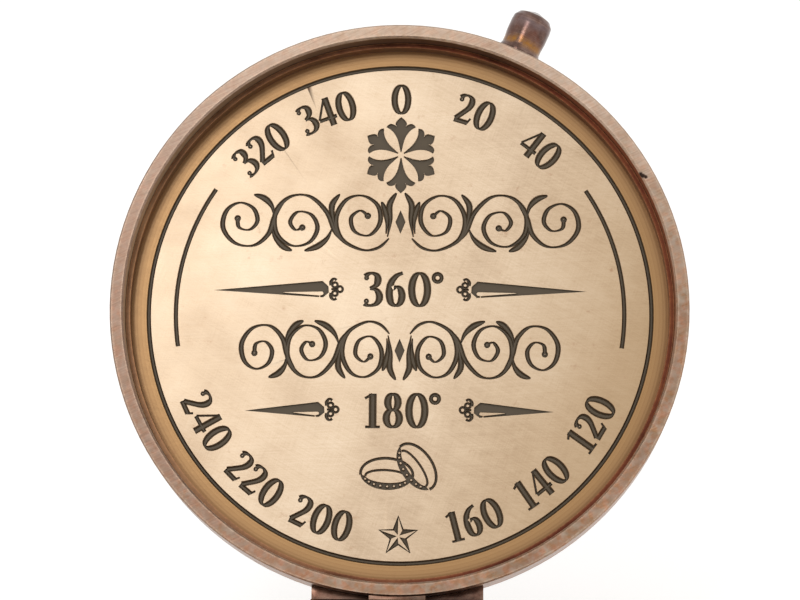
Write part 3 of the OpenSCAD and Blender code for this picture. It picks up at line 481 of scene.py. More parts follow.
# Each stroke is ("pen", closed, points), ("bar", half width, points), ("ball", radius, centre) or
# ("ring", half width, centre)
glyphs = {
    "0": (70, [("pen", True, oval(35, 50, 22.5, 46.5))]),
    "1": (52, [("bar", 10.4, [(27, 0), (27, 98)]), ("bar", 3, [(6, 3), (48, 3)]),
        ("bar", 3, [(5, 84.5), (26, 96.5)])]),
    "2": (65, [("ball", 7, (12, 79)), ("pen", False, [(7.5, 84), (16, 93.5), (30, 96.5), (43, 90),
        (47.5, 75), (42, 56), (27, 35), (9, 12)]), ("bar", 7.5, [(6, 7.5), (52, 7.5)]),
        ("bar", 2.5, [(50, 5), (58, 24)])]),
    "3": (62, [("ball", 6.6, (12, 83)), ("pen", False, [(8, 87), (17, 94.5), (29, 96.5), (41, 90),
        (44.5, 77), (39, 62), (22, 52)]), ("pen", False, [(22, 52), (38, 49), (47.5, 37), (48.5, 22),
        (40, 9), (26, 3.5), (14, 4.5), (7, 10)]), ("ball", 6.8, (12, 16))]),
    "4": (66, [("bar", 10, [(44, 0), (44, 98)]), ("bar", 5.5, [(3, 28), (63, 28)]),
        ("bar", 2.8, [(40, 97), (3, 30)])]),
    "6": (66, [("pen", False, [(53, 97.5), (36, 90), (21, 72), (15.5, 50), (15, 33), (20, 12),
        (33.5, 3.5), (46, 12), (51, 31), (46.5, 50), (36, 57.5), (24, 52)])]),
    "8": (65, [("pen", True, oval(32, 74, 14.5, 22.5)), ("pen", True, oval(32, 28, 18.5, 24.5))]),
    "°": (34, [("ring", 5, (16, 84))]),
    "N": (76, [("bar", 5, [(14, 0), (14, 95)]), ("bar", 9, [(13, 96), (60, 4)]),
        ("bar", 5, [(61, 2), (61, 100)]), ("bar", 4.5, [(2, 2.5), (26, 2.5)]),
        ("bar", 4.5, [(49, 97.5), (73, 97.5)]), ("bar", 4.5, [(0, 97.5), (16, 97.5)])]),
    "E": (64, [("bar", 9.5, [(18, 0), (18, 100)]), ("bar", 5.5, [(4, 3), (57, 3)]),
        ("bar", 5.5, [(4, 97), (55, 97)]), ("bar", 5.5, [(20, 52), (42, 52)]),
        ("bar", 4.5, [(56, 2), (58.5, 27)]), ("bar", 4.5, [(54, 98), (55, 75)]),
        ("bar", 4.5, [(42, 42), (42, 62)])]),
    "S": (60, [("pen", False, [(47, 78), (43, 90), (29, 96.5), (15, 89), (11, 74), (20, 60), (36, 47),
        (47, 33), (44, 14), (28, 3.5), (14, 9), (8, 24)]), ("bar", 4.5, [(49, 70), (48, 98)]),
        ("bar", 4.5, [(8, 2), (7, 30)])]),
    "W": (102, [("bar", 9, [(12, 97), (35, 3)]), ("bar", 5, [(36, 2), (54, 80)]),
        ("bar", 9, [(47, 97), (70, 3)]), ("bar", 5, [(71, 2), (91, 95)]),
        ("bar", 4.5, [(0, 97.5), (24, 97.5)]), ("bar", 4.5, [(36, 97.5), (58, 97.5)]),
        ("bar", 4.5, [(80, 97.5), (100, 97.5)])]),
}


# A curve through the points, with that many steps between two of them
def smoothPath(points, closed=False, steps=4):
    count = len(points)
    path = []
    for i in range(count if closed else count - 1):
        if closed:
            four = [points[(i + k) % count] for k in (-1, 0, 1, 2)]
        else:
            four = [points[min(max(i + k, 0), count - 1)] for k in (-1, 0, 1, 2)]
        for step in range(steps):
            t = step / steps
            path.append(tuple(0.5 * (2 * b + (c - a) * t + (2 * a - 5 * b + 4 * c - d) * t * t
                                     + (3 * b - a - 3 * c + d) * t ** 3) for a, b, c, d in zip(*four)))
    if not closed:
        path.append(points[-1])
    return path


# Unit direction of the path at each point
def headings(path, closed):
    count = len(path)
    result = []
    for i in range(count):
        a = path[(i - 1) % count] if closed else path[max(i - 1, 0)]
        b = path[(i + 1) % count] if closed else path[min(i + 1, count - 1)]
        length = math.hypot(b[0] - a[0], b[1] - a[1]) or 1
        result.append(((b[0] - a[0]) / length, (b[1] - a[1]) / length))
    return result


def penStroke(points, closed=False, thin=pen["thin"], thick=pen["thick"], steps=pen["steps"],
              contrast=pen["contrast"]):
    path = smoothPath(points, closed, steps)
    return [(x, y, thin + (thick - thin) * abs(dy) ** contrast)
            for (x, y), (dx, dy) in zip(path, headings(path, closed))], closed


# A line of a half width along an oval
def ovalLine(x, y, a, b, half, count):
    return [(px, py, half) for px, py in oval(x, y, a, b, count)], True


def dot(x, y, r):
    return ovalLine(x, y, r / 2, r / 2, r / 2, pen["dotPoints"])


# Strokes scaled, turned and moved; mirror is -1 for their image in the middle line
def moveStrokes(strokes, size=1.0, x=0.0, y=0.0, turn=0.0, mirror=1):
    c, s = polar(size, turn)
    return [([(x + mirror * (px * c - py * s), y + px * s + py * c, w * size) for px, py, w in points],
             closed) for points, closed in strokes]


# A glyph's strokes about its own middle, on a height of 1, and its width
def glyphStrokes(letter):
    width, parts = glyphs[letter]
    strokes = []
    for kind, value, points in parts:
        if kind == "pen":
            strokes.append(penStroke(points, value))
        elif kind == "bar":
            strokes.append(([(x, y, value) for x, y in points], False))
        elif kind == "ball":
            strokes.append(dot(*points, value))
        else:
            strokes.append(ovalLine(*points, *[pen["degreeRadius"]] * 2, value, pen["degreePoints"]))
    return moveStrokes(strokes, 0.01, -width / 200), width / 100


# A number's glyphs in a row, each with the place of its middle on a height of 1
def setInRow(text):
    row = [glyphStrokes(letter) for letter in text]
    at = -sum(width for strokes, width in row) / 2
    for strokes, width in row:
        yield strokes, at + width / 2
        at += width


# Number centred on x, y, where y is the foot of its digits
def writeNumber(text, size, x, y):
    marks = []
    for strokes, at in setInRow(text):
        marks += moveStrokes(strokes, size, x + at * size, y)
    return marks


# Number on a circle at a bearing from the top; with inward its digits stand on the outside
def writeOnArc(text, bearing, radius, size, inward=False):
    marks = []
    side = 1 if inward else -1
    for strokes, at in setInRow(text):
        angle = 90 - bearing + side * math.degrees(at * size / (radius - side * size / 2))
        marks += moveStrokes(strokes, size, *polar(radius, angle), angle + 90 * side)
    return marks


# One stroke as a closed prism with a flared mouth at zero and a floor that is a share of its width
def strokeCutter(bm, points, closed, cut):
    turns = headings(points, closed)
    rings = []
    for (x, y, w), (dx, dy) in zip(points, turns):
        section = ((w + cut["flare"], cut["over"]), (w + cut["flare"], 0), (w, -cut["flare"]),
                   (w * cut["floorShare"], -cut["depth"]))
        side = [bm.verts.new((x - dy * s, y + dx * s, z)) for s, z in section]
        side += [bm.verts.new((x + dy * s, y - dx * s, z)) for s, z in reversed(section)]
        rings.append(side)
    pairs = list(zip(rings, rings[1:] + rings[:1])) if closed else list(zip(rings, rings[1:]))
    for a, b in pairs:
        for k in range(len(a)):
            bm.faces.new((a[k], a[(k + 1) % len(a)], b[(k + 1) % len(a)], b[k]))
    if not closed:
        bm.faces.new(rings[0])
        bm.faces.new(rings[-1])


# A filled outline of (x, y) or (x, y, depth) as a closed prism with a flared mouth
def shapeCutter(bm, outline, cut):
    count = len(outline)
    area = sum(outline[i - 1][0] * outline[i][1] - outline[i][0] * outline[i - 1][1] for i in range(count))
    if area < 0:
        outline = outline[::-1]
    levels = []
    for grow, z in ((cut["flare"], cut["over"]), (cut["flare"], 0), (0, -cut["flare"]), (0, None)):
        level = []
        for i, point in enumerate(outline):
            (ax, ay), (bx, by), (cx, cy) = outline[i - 1][:2], point[:2], outline[(i + 1) % count][:2]
            n1, n2 = Vector((by - ay, ax - bx)).normalized(), Vector((cy - by, bx - cx)).normalized()
            lean = n1 + n2
            lean = lean / max(lean.length_squared / 2, 0.4)         # a sharp tip isn't drawn out
            depth = -(point[2] if len(point) > 2 else cut["depth"]) if z is None else z
            level.append(bm.verts.new((bx + lean.x * grow, by + lean.y * grow, depth)))
        levels.append(level)
    for a, b in zip(levels, levels[1:]):
        for i in range(count):
            bm.faces.new((a[i], a[(i + 1) % count], b[(i + 1) % count], b[i]))
    bm.faces.new(levels[0])
    floor = bm.faces.new(levels[-1])
    bmesh.ops.triangulate(bm, faces=[floor])


# Boolean with a cutter that is then thrown away; the plate stays in triangles, which no later cut tears
def cutWith(plate, cutter, operation="DIFFERENCE"):
    applyModifier(plate, "BOOLEAN", operation=operation, solver="MANIFOLD", object=cutter)
    bpy.data.objects.remove(cutter)
    bm = bmesh.new()
    bm.from_mesh(plate.data)
    bmesh.ops.triangulate(bm, faces=bm.faces, quad_method="BEAUTY", ngon_method="BEAUTY")
    bm.to_mesh(plate.data)
    bm.free()


markGap = 0.2               # mm between two marks that are cut in one layer


# Cuts marks into an upward face at a height. A mark is (points with half width, closed) or an outline.
# They go in layers in which none touches another
def carve(plate, marks, cut, faceHeight=0.0):
    layers = []
    for mark in marks:
        points = mark[0] if isinstance(mark, tuple) else mark
        reach = markGap / 2 + (max(p[2] for p in points) if isinstance(mark, tuple) else 0)
        xs, ys = [p[0] for p in points], [p[1] for p in points]
        box = (min(xs) - reach, min(ys) - reach, max(xs) + reach, max(ys) + reach)
        for layer in layers:
            if all(box[0] > b[2] or box[2] < b[0] or box[1] > b[3] or box[3] < b[1] for b, _ in layer):
                layer.append((box, mark))
                break
        else:
            layers.append([(box, mark)])
    for layer in layers:
        bm = bmesh.new()
        for _, mark in layer:
            if isinstance(mark, tuple):
                strokeCutter(bm, mark[0], mark[1], cut)
            else:
                shapeCutter(bm, mark, cut)
        bmesh.ops.recalc_face_normals(bm, faces=bm.faces)
        mesh = bpy.data.meshes.new("cutter")
        bm.to_mesh(mesh)
        bm.free()
        mesh.transform(Matrix.Translation((0, 0, faceHeight)))
        cutWith(plate, addObject("cutter", mesh))
    print("cut", len(marks), "marks in", len(layers), "layers into", plate.name)


mergeBelow = 0.0005         # mm; points of a turned shape that are nearer are one


# A closed profile of (radius, height) in mm, turned round the upright axis
def lathe(name, profile, steps):
    selectNone()
    bpy.ops.mesh.primitive_circle_add(vertices=len(profile), radius=1)
    piece = bpy.context.object
    piece.name = name
    for vertex, (radius, height) in zip(piece.data.vertices, profile):
        vertex.co = (radius, 0, height)
    editAll()
    bpy.ops.mesh.spin(steps=steps, angle=2 * math.pi, center=(0, 0, 0), axis=(0, 0, 1))
    bpy.ops.mesh.select_all(action="SELECT")
    bpy.ops.mesh.remove_doubles(threshold=mergeBelow)
    bpy.ops.mesh.dissolve_degenerate(threshold=mergeBelow)
    bpy.ops.mesh.normals_make_consistent(inside=False)
    bpy.ops.object.mode_set(mode="OBJECT")
    return piece


# Profile whose corners are rounded: each corner is (radius, height, rounding)
def rounded(corners, steps=4):
    profile = []
    for i, (x, y, r) in enumerate(corners):
        if not r:
            profile.append((x, y))
            continue
        here = Vector((x, y))
        before, after = [Vector(corners[j % len(corners)][:2]) - here for j in (i - 1, i + 1)]
        back = r / math.tan(before.angle(after) / 2)
        back = min(back, before.length / 2.01, after.length / 2.01)         # roundings never meet
        start, end = here + before.normalized() * back, here + after.normalized() * back
        for k in range(steps + 1):
            s = k / steps
            profile.append(tuple((1 - s) ** 2 * start + 2 * s * (1 - s) * here + s * s * end))
    return profile


# The plate in the lid: ring groove, side arcs, bearings on two arches, two angles, penwork scrolls and
# ornaments
plateCut = {"depth": 0.35, "flare": 0.05, "over": 0.3, "floorShare": 0.4}
plateForm = {
    "radius": 35.7, "thickness": 1.2, "sides": 256,
    "grooveRadius": 32.85, "lineHalf": 0.25, "grooveSteps": 240,
    "sideArcRadius": 29.3, "sideArc": (56, 99), "arcSteps": 30,
    "numberSize": 4.0, "topRadius": 26.6, "bottomRadius": 30.9,
    "topBearings": (320, 340, 0, 20, 40), "bottomBearings": (240, 220, 200, 160, 140, 120),
    "angleSize": 4.6, "angles": (("360°", 0.4, 0.8), ("180°", 0.4, -15.2)),
    "scrolls": ((1, 1.0, 12.1), (-1, 0.885, -5.0)),                     # turned over or not, width, height
    "lozenge": (0.62, 1.5),                                             # half width, half height
    "dividers": ((15.1, 2.1, 9.3, 3.1), (10.4, 1.9, 9.7, -12.8)),       # length, width, inner end, height
    "rosetteRadius": 5.1, "rosetteV": 21.1,
    "linkV": -20.3, "linkOuter": (3.4, 2.05), "linkInner": (2.75, 0.85), "linkDrop": -0.35,
    "links": ((-1.55, -0.9, -3), (2.3, 0.05, -55)),                     # each one's middle and turn
    "linkLines": (0.15, 0.12), "beadTrack": 0.985, "beadRadius": 0.23, "beadSink": 0.01,
    "starRadius": 2.6, "starV": -29.3, "starDepth": 0.3, "waistDepth": 0.12, "starLine": 0.09,
    "starFacet": ((0.1, 0.3), (1, 0), (0.4, math.radians(36))),         # hub, tip, waist: radius, turn
}
# Pens of the scrolls, their leaves and the dividers' crowns. A scroll's line starts as a share of its width,
# swells over some points, loses some width towards its end and closes in a ball
scrollPen = {"thin": 0.11, "thick": 0.36, "steps": 6, "contrast": 1.3}
scrollEnds = {"least": 0.06, "start": 0.2, "swellPoints": 9, "loss": 0.35, "ball": 0.4}
leafPen = {"thin": 0.05, "thick": 0.34, "steps": 6, "lean": 1.5}
crownPen = {"thin": 0.1, "thick": 0.2, "ring": 0.13, "ringPoints": 16, "bar": 0.11}


# Part of a circle from one bearing to another
def arcStroke(radius, start, end, half, steps):
    turns = [90 - start - (end - start) * i / steps for i in range(steps + 1)]
    return [(*polar(radius, turn), half) for turn in turns], False


# Penwork scrolls, right half: three volutes that spring from one another, and leaves in the forks
scrollPaths = [
    [(1.5, -2.2), (2.9, -3.45), (5.0, -3.75), (7.7, -2.3), (8.5, 0.4), (7.2, 2.9), (5.0, 3.5), (3.0, 2.2),
     (2.7, -0.1), (4.1, -1.8), (6.0, -1.3), (6.5, 0.5), (5.3, 1.5), (4.3, 0.8)],
    [(6.6, -3.3), (8.4, -1.6), (9.7, 1.3), (12.0, 3.4), (14.6, 3.3), (16.4, 1.3), (16.3, -1.5),
     (14.3, -3.2), (12.0, -2.8), (10.9, -0.9), (11.7, 0.9), (13.5, 1.3), (14.5, 0.0), (13.8, -1.1),
     (12.9, -0.8)],
    [(15.2, 2.9), (16.5, 0.8), (17.3, -1.6), (19.2, -3.2), (21.7, -2.9), (23.3, -0.9), (22.9, 1.4),
     (21.2, 2.5), (19.4, 1.8), (18.8, 0.1), (19.8, -1.1), (21.2, -0.8), (21.4, 0.4)],
]
leafPaths = [
    [(8.35, -1.6), (8.9, 0.6), (9.0, 2.3), (8.0, 3.7)],
    [(8.9, -0.7), (9.6, -2.2), (10.9, -3.3), (12.6, -3.9)],
    [(16.6, 0.5), (16.9, 2.0), (17.9, 3.1), (19.3, 3.6)],
    [(16.9, -0.6), (16.5, -2.0), (15.4, -3.3), (14.2, -3.9)],
    [(1.7, -2.0), (1.35, 0.2), (1.45, 2.3), (0.55, 3.9)],
    [(1.9, -1.6), (1.75, 0.0), (2.0, 1.4), (2.5, 2.7)],
]


def scrollLine(flip, stretch, v):
    ends = scrollEnds
    strokes = []
    for path in scrollPaths:
        points, _ = penStroke(path, **scrollPen)
        last = len(points) - 1
        points = [(x, y, max(ends["least"], w * min(1, ends["start"] + i / ends["swellPoints"])
                             * (1 - ends["loss"] * i / last))) for i, (x, y, w) in enumerate(points)]
        strokes += [(points, False), dot(*points[-1][:2], ends["ball"])]
    for path in leafPaths:
        points = smoothPath(path, False, leafPen["steps"])
        last = len(points) - 1
        swell = [math.sin(math.pi * (i / last) ** leafPen["lean"]) for i in range(last + 1)]
        strokes.append(([(x, y, leafPen["thin"] + leafPen["thick"] * s) for (x, y), s in zip(points, swell)],
                        False))
    strokes = [([(x * stretch, y * flip, w) for x, y, w in points], closed) for points, closed in strokes]
    a, b = plateForm["lozenge"]
    both = moveStrokes(strokes, 1, 0, v) + moveStrokes(strokes, 1, 0, v, mirror=-1)
    return both + [[(0, v - b), (a, v), (0, v + b), (-a, v)]]


# Six lilies that stand between six petals left bright
def rosette():
    side = [smoothPath([(0.01, 0.09), (0.03, 0.2), (0.08, 0.4), (0.155, 0.55), (0.25, 0.66), (0.37, 0.735)]),
            smoothPath([(0.37, 0.735), (0.33, 0.79), (0.26, 0.815), (0.17, 0.79), (0.115, 0.75)]),
            smoothPath([(0.115, 0.75), (0.14, 0.82), (0.105, 0.9), (0, 1.0)])]
    right = [p for part in side for p in part[:-1]] + [(0, 1.0)]
    outline = right + [(-x, y) for x, y in reversed(right[:-1])]
    shapes = []
    for k in range(6):
        c, s = polar(plateForm["rosetteRadius"], 60 * k)
        shapes.append([(x * c - y * s, plateForm["rosetteV"] + x * s + y * c) for x, y in outline])
    return shapes


# Tapered bar with a bright sliver in its lower half, and a small crown; both sides
def divider(length, width, innerU, v):
    h = width / 2
    body = [(-length, -0.2), (-0.85, h), (-0.1, 0.35 * h), (-0.05, -0.4 * h), (-0.75, -h),
            (-1.1, -0.99 * h), (-1.15, -0.84 * h), (-0.8, -0.75 * h), (-0.65, -0.5 * h), (-0.85, -0.27 * h),
            (-0.38 * length, -0.36 * h), (-0.4 * length, -0.46 * h), (-1.3, -0.84 * h), (-1.3, -0.98 * h)]
    horn = [(0.3, 0.5), (0.26, 1.0), (0.62, 1.4), (1.0, 1.2)]
    crown = [penStroke([(x, side * y) for x, y in horn], False, crownPen["thin"], crownPen["thick"])
             for side in (1, -1)]
    crown += [ovalLine(*ring, crownPen["ring"], crownPen["ringPoints"])
              for ring in ((0.78, 0.56, 0.35, 0.33), (0.78, -0.56, 0.35, 0.33), (1.44, 0, 0.36, 0.38))]
    crown.append(([(0.3, 0.0, crownPen["bar"]), (1.0, 0.0, crownPen["bar"])], False))
    marks = []
    for side in (1, -1):
        marks.append([(side * (x - innerU), v + y) for x, y in body])
        marks += moveStrokes(crown, 1, -innerU * side, v, mirror=side)
    return marks


# Two plain rings through each other; the near half of each is sunk and carries beads
def linkedRings():
    outer, inner, drop = plateForm["linkOuter"], plateForm["linkInner"], plateForm["linkDrop"]
    marks, beads = [], []
    for x, y, turn in plateForm["links"]:
        c, s = polar(1, turn)

        def edge(size, angle, lower=0.0):
            across, up = polar(1, angle)
            u, w = size[0] * across, lower + size[1] * up
            return x + u * c - w * s, plateForm["linkV"] + y + u * s + w * c

        outerHalf, innerHalf = plateForm["linkLines"]
        marks.append(([(*edge(outer, t), outerHalf) for t in range(-8, 189, 7)], False))
        marks.append(([(*edge(inner, t, drop), innerHalf) for t in range(-6, 187, 8)], False))
        marks.append([edge(outer, t) for t in range(187, 354, 7)]
                     + [edge(inner, t, drop) for t in range(352, 187, -8)])
        middle = (plateForm["beadTrack"] * (outer[0] + inner[0]) / 2, (outer[1] + inner[1]) / 2)
        beads += [edge(middle, t, drop / 2) for t in range(205, 341, 17)]
    return marks, beads


# Small domes left standing in the sunk bands
def addBeads(plate, spots, radius, sink):
    selectNone()
    beads = []
    for x, y in spots:
        bpy.ops.mesh.primitive_uv_sphere_add(
            segments=14, ring_count=9, radius=radius, location=(x, y, -radius - sink))
        beads.append(bpy.context.object)
    for bead in beads:
        bead.select_set(True)
    bpy.ops.object.join()
    joined = bpy.context.object
    place(joined)
    cutWith(plate, joined, "UNION")


# Five points, each with one facet that slopes into the plate
def facetedStar():
    form = plateForm
    marks, corners = [], []
    for k in range(5):
        aim = math.radians(90 + 72 * k)
        spots = [(share * form["starRadius"], aim + turn) for share, turn in form["starFacet"]]
        hub, tip, waist = [(r * math.cos(a), form["starV"] + r * math.sin(a)) for r, a in spots]
        corners += [tip, waist]
        marks.append([(*hub, form["starDepth"]), (*tip, form["starDepth"]), (*waist, form["waistDepth"])])
    marks.append(([(x, y, form["starLine"]) for x, y in corners], True))
    return marks


selectNone()
bpy.ops.mesh.primitive_cylinder_add(
    vertices=plateForm["sides"], radius=plateForm["radius"], depth=plateForm["thickness"],
    location=(0, 0, -plateForm["thickness"] / 2), end_fill_type="TRIFAN")
engravedPlate = bpy.context.object
engravedPlate.name = "engraved_plate"
place(engravedPlate)

groove, half = plateForm["grooveRadius"], plateForm["lineHalf"]
marks = [ovalLine(0, 0, groove, groove, half, plateForm["grooveSteps"])]
start, end = plateForm["sideArc"]
marks += [arcStroke(plateForm["sideArcRadius"], side * start, side * end, half, plateForm["arcSteps"])
          for side in (1, -1)]
for bearing in plateForm["topBearings"]:
    marks += writeOnArc(str(bearing), bearing, plateForm["topRadius"], plateForm["numberSize"])
for bearing in plateForm["bottomBearings"]:
    marks += writeOnArc(str(bearing), bearing, plateForm["bottomRadius"], plateForm["numberSize"], True)
for angle, u, v in plateForm["angles"]:
    marks += writeNumber(angle, plateForm["angleSize"], u, v)
for scroll in plateForm["scrolls"]:
    marks += scrollLine(*scroll)
for bar in plateForm["dividers"]:
    marks += divider(*bar)
ringMarks, beadSpots = linkedRings()
marks += rosette() + ringMarks + facetedStar()
carve(engravedPlate, marks, plateCut)
addBeads(engravedPlate, beadSpots, plateForm["beadRadius"], plateForm["beadSink"])
place(engravedPlate, toMetres @ lidPlace @ Matrix.Translation((0, 0, lid["plateFace"])))
finishPiece(engravedPlate, "lid", engravedBrass, ["lid_plate"], 25)


# Thumb knob: a turned barrel on a flared foot, with a rounded shoulder and a low domed end
knobForm = {
    "angle": 24, "caseRadius": 37.5, "halfLid": 3.85, "sides": 96, "roundingSteps": 5,
    "profile": (            # radius, height, rounding: shank in the lid, foot, neck, barrel, shoulder, end
        (0, -1.2, 0), (1.25, -1.2, 0), (1.25, 0.03, 0), (2.88, 0.03, 0.08), (2.88, 0.45, 0.2),
        (2.62, 1.05, 0.5), (2.62, 1.8, 0.6), (2.715, 2.8, 0.9), (2.725, 4.3, 0.7),
        (2.65, 5.05, 0.3), (2.2, 5.66, 0.12), (0.5, 6.33, 0.25), (0, 6.38, 0)),
}
knobPlace = (
    Matrix.Translation((0, 0, -knobForm["halfLid"]))
    @ Matrix.Rotation(math.radians(-knobForm["angle"]), 4, "Z")
    @ Matrix.Rotation(math.radians(-90), 4, "X")
    @ Matrix.Translation((0, 0, knobForm["caseRadius"]))
)
knob = lathe("thumb_knob", rounded(knobForm["profile"], knobForm["roundingSteps"]), knobForm["sides"])
place(knob, toMetres @ lidPlace @ knobPlace)

# Bronze of the knob, heated and lacquered: purplish grey, with ochre round the neck and red-brown patches
knobBronze = agedMetal("heat-tinted bronze", dict(
    antiqueLook, own=lidPlace @ knobPlace, light="#94796c", body="#6b5147", dark="#432d26", grimeAndShade="#21130e",
    edge="#e8d29a", edgeMm=0.22, rough=(0.16, 0.3), lacquer=0.3, cloudMm=2.2, lineMm=0.12, bump=0.2,
    cornerMm=0.9,
    tints=(("#a9742a", 1.6, 1.5, 0.9, 0.9), ("#5c3020", 2.4, 3.0, 2.4, 0.8), ("#6d5f62", 2.0, 4.4, 1.4, 0.6),
           ("#a3958a", 1.5, 6.1, 0.7, 0.9))))
finishPiece(knob, "lid", knobBronze, ["lid_knob"])


# Dial and degree ring, each with its marks cut and filled; heights are above the case's underside
dialForm = {
    "outer": 35.25, "hole": 2.3, "bottom": 8.0, "top": 9.0, "ringInner": 24.75, "ringTop": 9.8,
    "ringEdge": 0.15, "steps": 240,
    "ticks": ((20, 2.1, 0.15), (10, 1.6, 0.15), (2, 0.95, 0.09)),       # every so many degrees, length, half
    "tickOuter": 30.6, "ringLine": (30.95, 0.08), "ringNumberRadius": 25.7, "ringNumberSize": 2.2,
    "letters": (("N", 0), ("E", 90), ("S", 180), ("W", 270)), "letterRadius": 21.15, "letterSize": 2.7,
    "circles": ((19.9, 0.16), (20.7, 0.07), (24.3, 0.09)), "dotCircle": 22.4, "dot": 0.26,
    # points are how many, first one's turn, and the radius of tip, waist and root
    "points": ((4, 0, 19.0, 5.6, 3.2), (4, 45, 14.2, 5.6, 3.2), (8, 22.5, 10.6, 6.6, 4.4)),
    "rootTurn": 2, "outline": (0.09, 0.07),
    "circleSteps": 180, "screwCircle": 33.02, "screwTurn": 60, "seat": 1.34, "seatSides": 40,
}
dialCut = {"depth": 0.12, "flare": 0.015, "over": 0.2, "floorShare": 0.9}
ringCut = {"depth": 0.15, "flare": 0.02, "over": 0.2, "floorShare": 0.8}


# Bores a hole through a piece
def drill(piece, radius, spot, sides, depth=4):
    bpy.ops.mesh.primitive_cylinder_add(vertices=sides, radius=radius, depth=depth, location=spot)
    bore = bpy.context.object
    place(bore)
    cutWith(piece, bore)


def drillScrewSeats(piece):
    for k in range(3):
        spot = polar(dialForm["screwCircle"], dialForm["screwTurn"] + 120 * k)
        drill(piece, dialForm["seat"], (*spot, dialForm["top"]), dialForm["seatSides"])


# Sixteen points: one half of each is filled and the other only outlined
def compassRose():
    form = dialForm
    marks = []
    for count, first, length, waist, foot in form["points"]:
        for k in range(count):
            axis = first + 360 / count * k
            tip, root = polar(length, axis), polar(foot, axis + form["rootTurn"])
            left, right = polar(waist, axis + 90 / count), polar(waist, axis - 90 / count)
            outline = [(*spot, half) for spot, half in zip((right, tip), form["outline"])]
            marks += [[root, tip, left], (outline, False)]
    for radius, half in form["circles"]:
        marks.append(ovalLine(0, 0, radius, radius, half, form["circleSteps"]))
    for letter, bearing in form["letters"]:
        marks += writeOnArc(letter, bearing, form["letterRadius"], form["letterSize"])
    marks += [dot(*polar(form["dotCircle"], bearing), form["dot"])
              for bearing in range(0, 360, 15) if bearing % 90]
    return marks


hole, outer, bottom, top = [dialForm[name] for name in ("hole", "outer", "bottom", "top")]
dial = lathe("compass_dial", [(hole, bottom), (outer, bottom), (outer, top), (hole, top)], dialForm["steps"])
drillScrewSeats(dial)
carve(dial, compassRose(), dialCut, top)

inner, ringTop = dialForm["ringInner"], dialForm["ringTop"]
degreeRing = lathe("degree_ring", rounded([
    (inner, top, 0), (outer, top, 0), (outer, ringTop, 0), (inner, ringTop, dialForm["ringEdge"]),
]), dialForm["steps"])
drillScrewSeats(degreeRing)
marks = []
for degree in range(0, 360, 2):
    length, half = next(tick[1:] for tick in dialForm["ticks"] if degree % tick[0] == 0)
    ends = (dialForm["tickOuter"] - length, dialForm["tickOuter"])
    marks.append(([(*polar(radius, 90 - degree), half) for radius in ends], False))
radius, half = dialForm["ringLine"]
marks.append(ovalLine(0, 0, radius, radius, half, dialForm["circleSteps"]))
for degree in range(0, 360, 20):
    marks += writeOnArc(str(degree), degree, dialForm["ringNumberRadius"], dialForm["ringNumberSize"])
carve(degreeRing, marks, ringCut, ringTop)
place(dial, toMetres)
place(degreeRing, toMetres)
finishPiece(dial, "base", firedEnamel, ["dial_plate"], 0)
finishPiece(degreeRing, "base", dialBrass, ["chapter_ring"], 30)


# Needle: a rhomb with its middle raised to a ridge, and a hole for the cap
needleForm = {"half": 26.5, "wide": 2.9, "bottom": 10.9, "ridge": 11.2, "edge": 11.0, "hole": 1.93,
              "holeSides": 64}
selectNone()
bpy.ops.mesh.primitive_circle_add(vertices=4, radius=1, fill_type="TRIFAN")
needle = bpy.context.object
needle.name = "compass_needle"
for vertex in needle.data.vertices:
    x, y = round(vertex.co.x), round(vertex.co.y)
    height = needleForm["edge"] if x or y else needleForm["ridge"]
    vertex.co = (x * needleForm["wide"], y * needleForm["half"], height)
editAll()
bpy.ops.mesh.extrude_region_move(TRANSFORM_OT_translate={"value": (0, 0, 0)})
bpy.ops.object.mode_set(mode="OBJECT")
for vertex in needle.data.vertices:         # what was extruded becomes the flat underside
    if vertex.select:
        vertex.co.z = needleForm["bottom"]
editAll()
bpy.ops.mesh.normals_make_consistent(inside=False)
bpy.ops.object.mode_set(mode="OBJECT")
drill(needle, needleForm["hole"], (0, 0, needleForm["edge"]), needleForm["holeSides"])
place(needle, toMetres)
finishPiece(needle, "needle", needleSteel, ["needle"], 20)


# Hinge leaves: the CAD solids with their flat faces joined and their edges broken with a file
leafForm = {"bevel": 0.12, "sharpFrom": 38, "mergeBelow": 0.002, "flatWithin": 0.5}
for name, source, body in (("lid_leaf", "lid_hinge_leaf", "lid"), ("base_leaf", "base_hinge_leaf", "base")):
    leaf = addObject(name, nodes[source].data.copy())
    activate(leaf)
    editAll()
    bpy.ops.mesh.remove_doubles(threshold=leafForm["mergeBelow"] * mm)
    bpy.ops.mesh.dissolve_limited(angle_limit=math.radians(leafForm["flatWithin"]))
    bpy.ops.object.mode_set(mode="OBJECT")
    applyModifier(leaf, "BEVEL", width=leafForm["bevel"] * mm, segments=2, limit_method="ANGLE",
                  angle_limit=math.radians(leafForm["sharpFrom"]), use_clamp_overlap=True)
    applyModifier(leaf, "TRIANGULATE")
    finishPiece(leaf, body, darkBronze, [source])


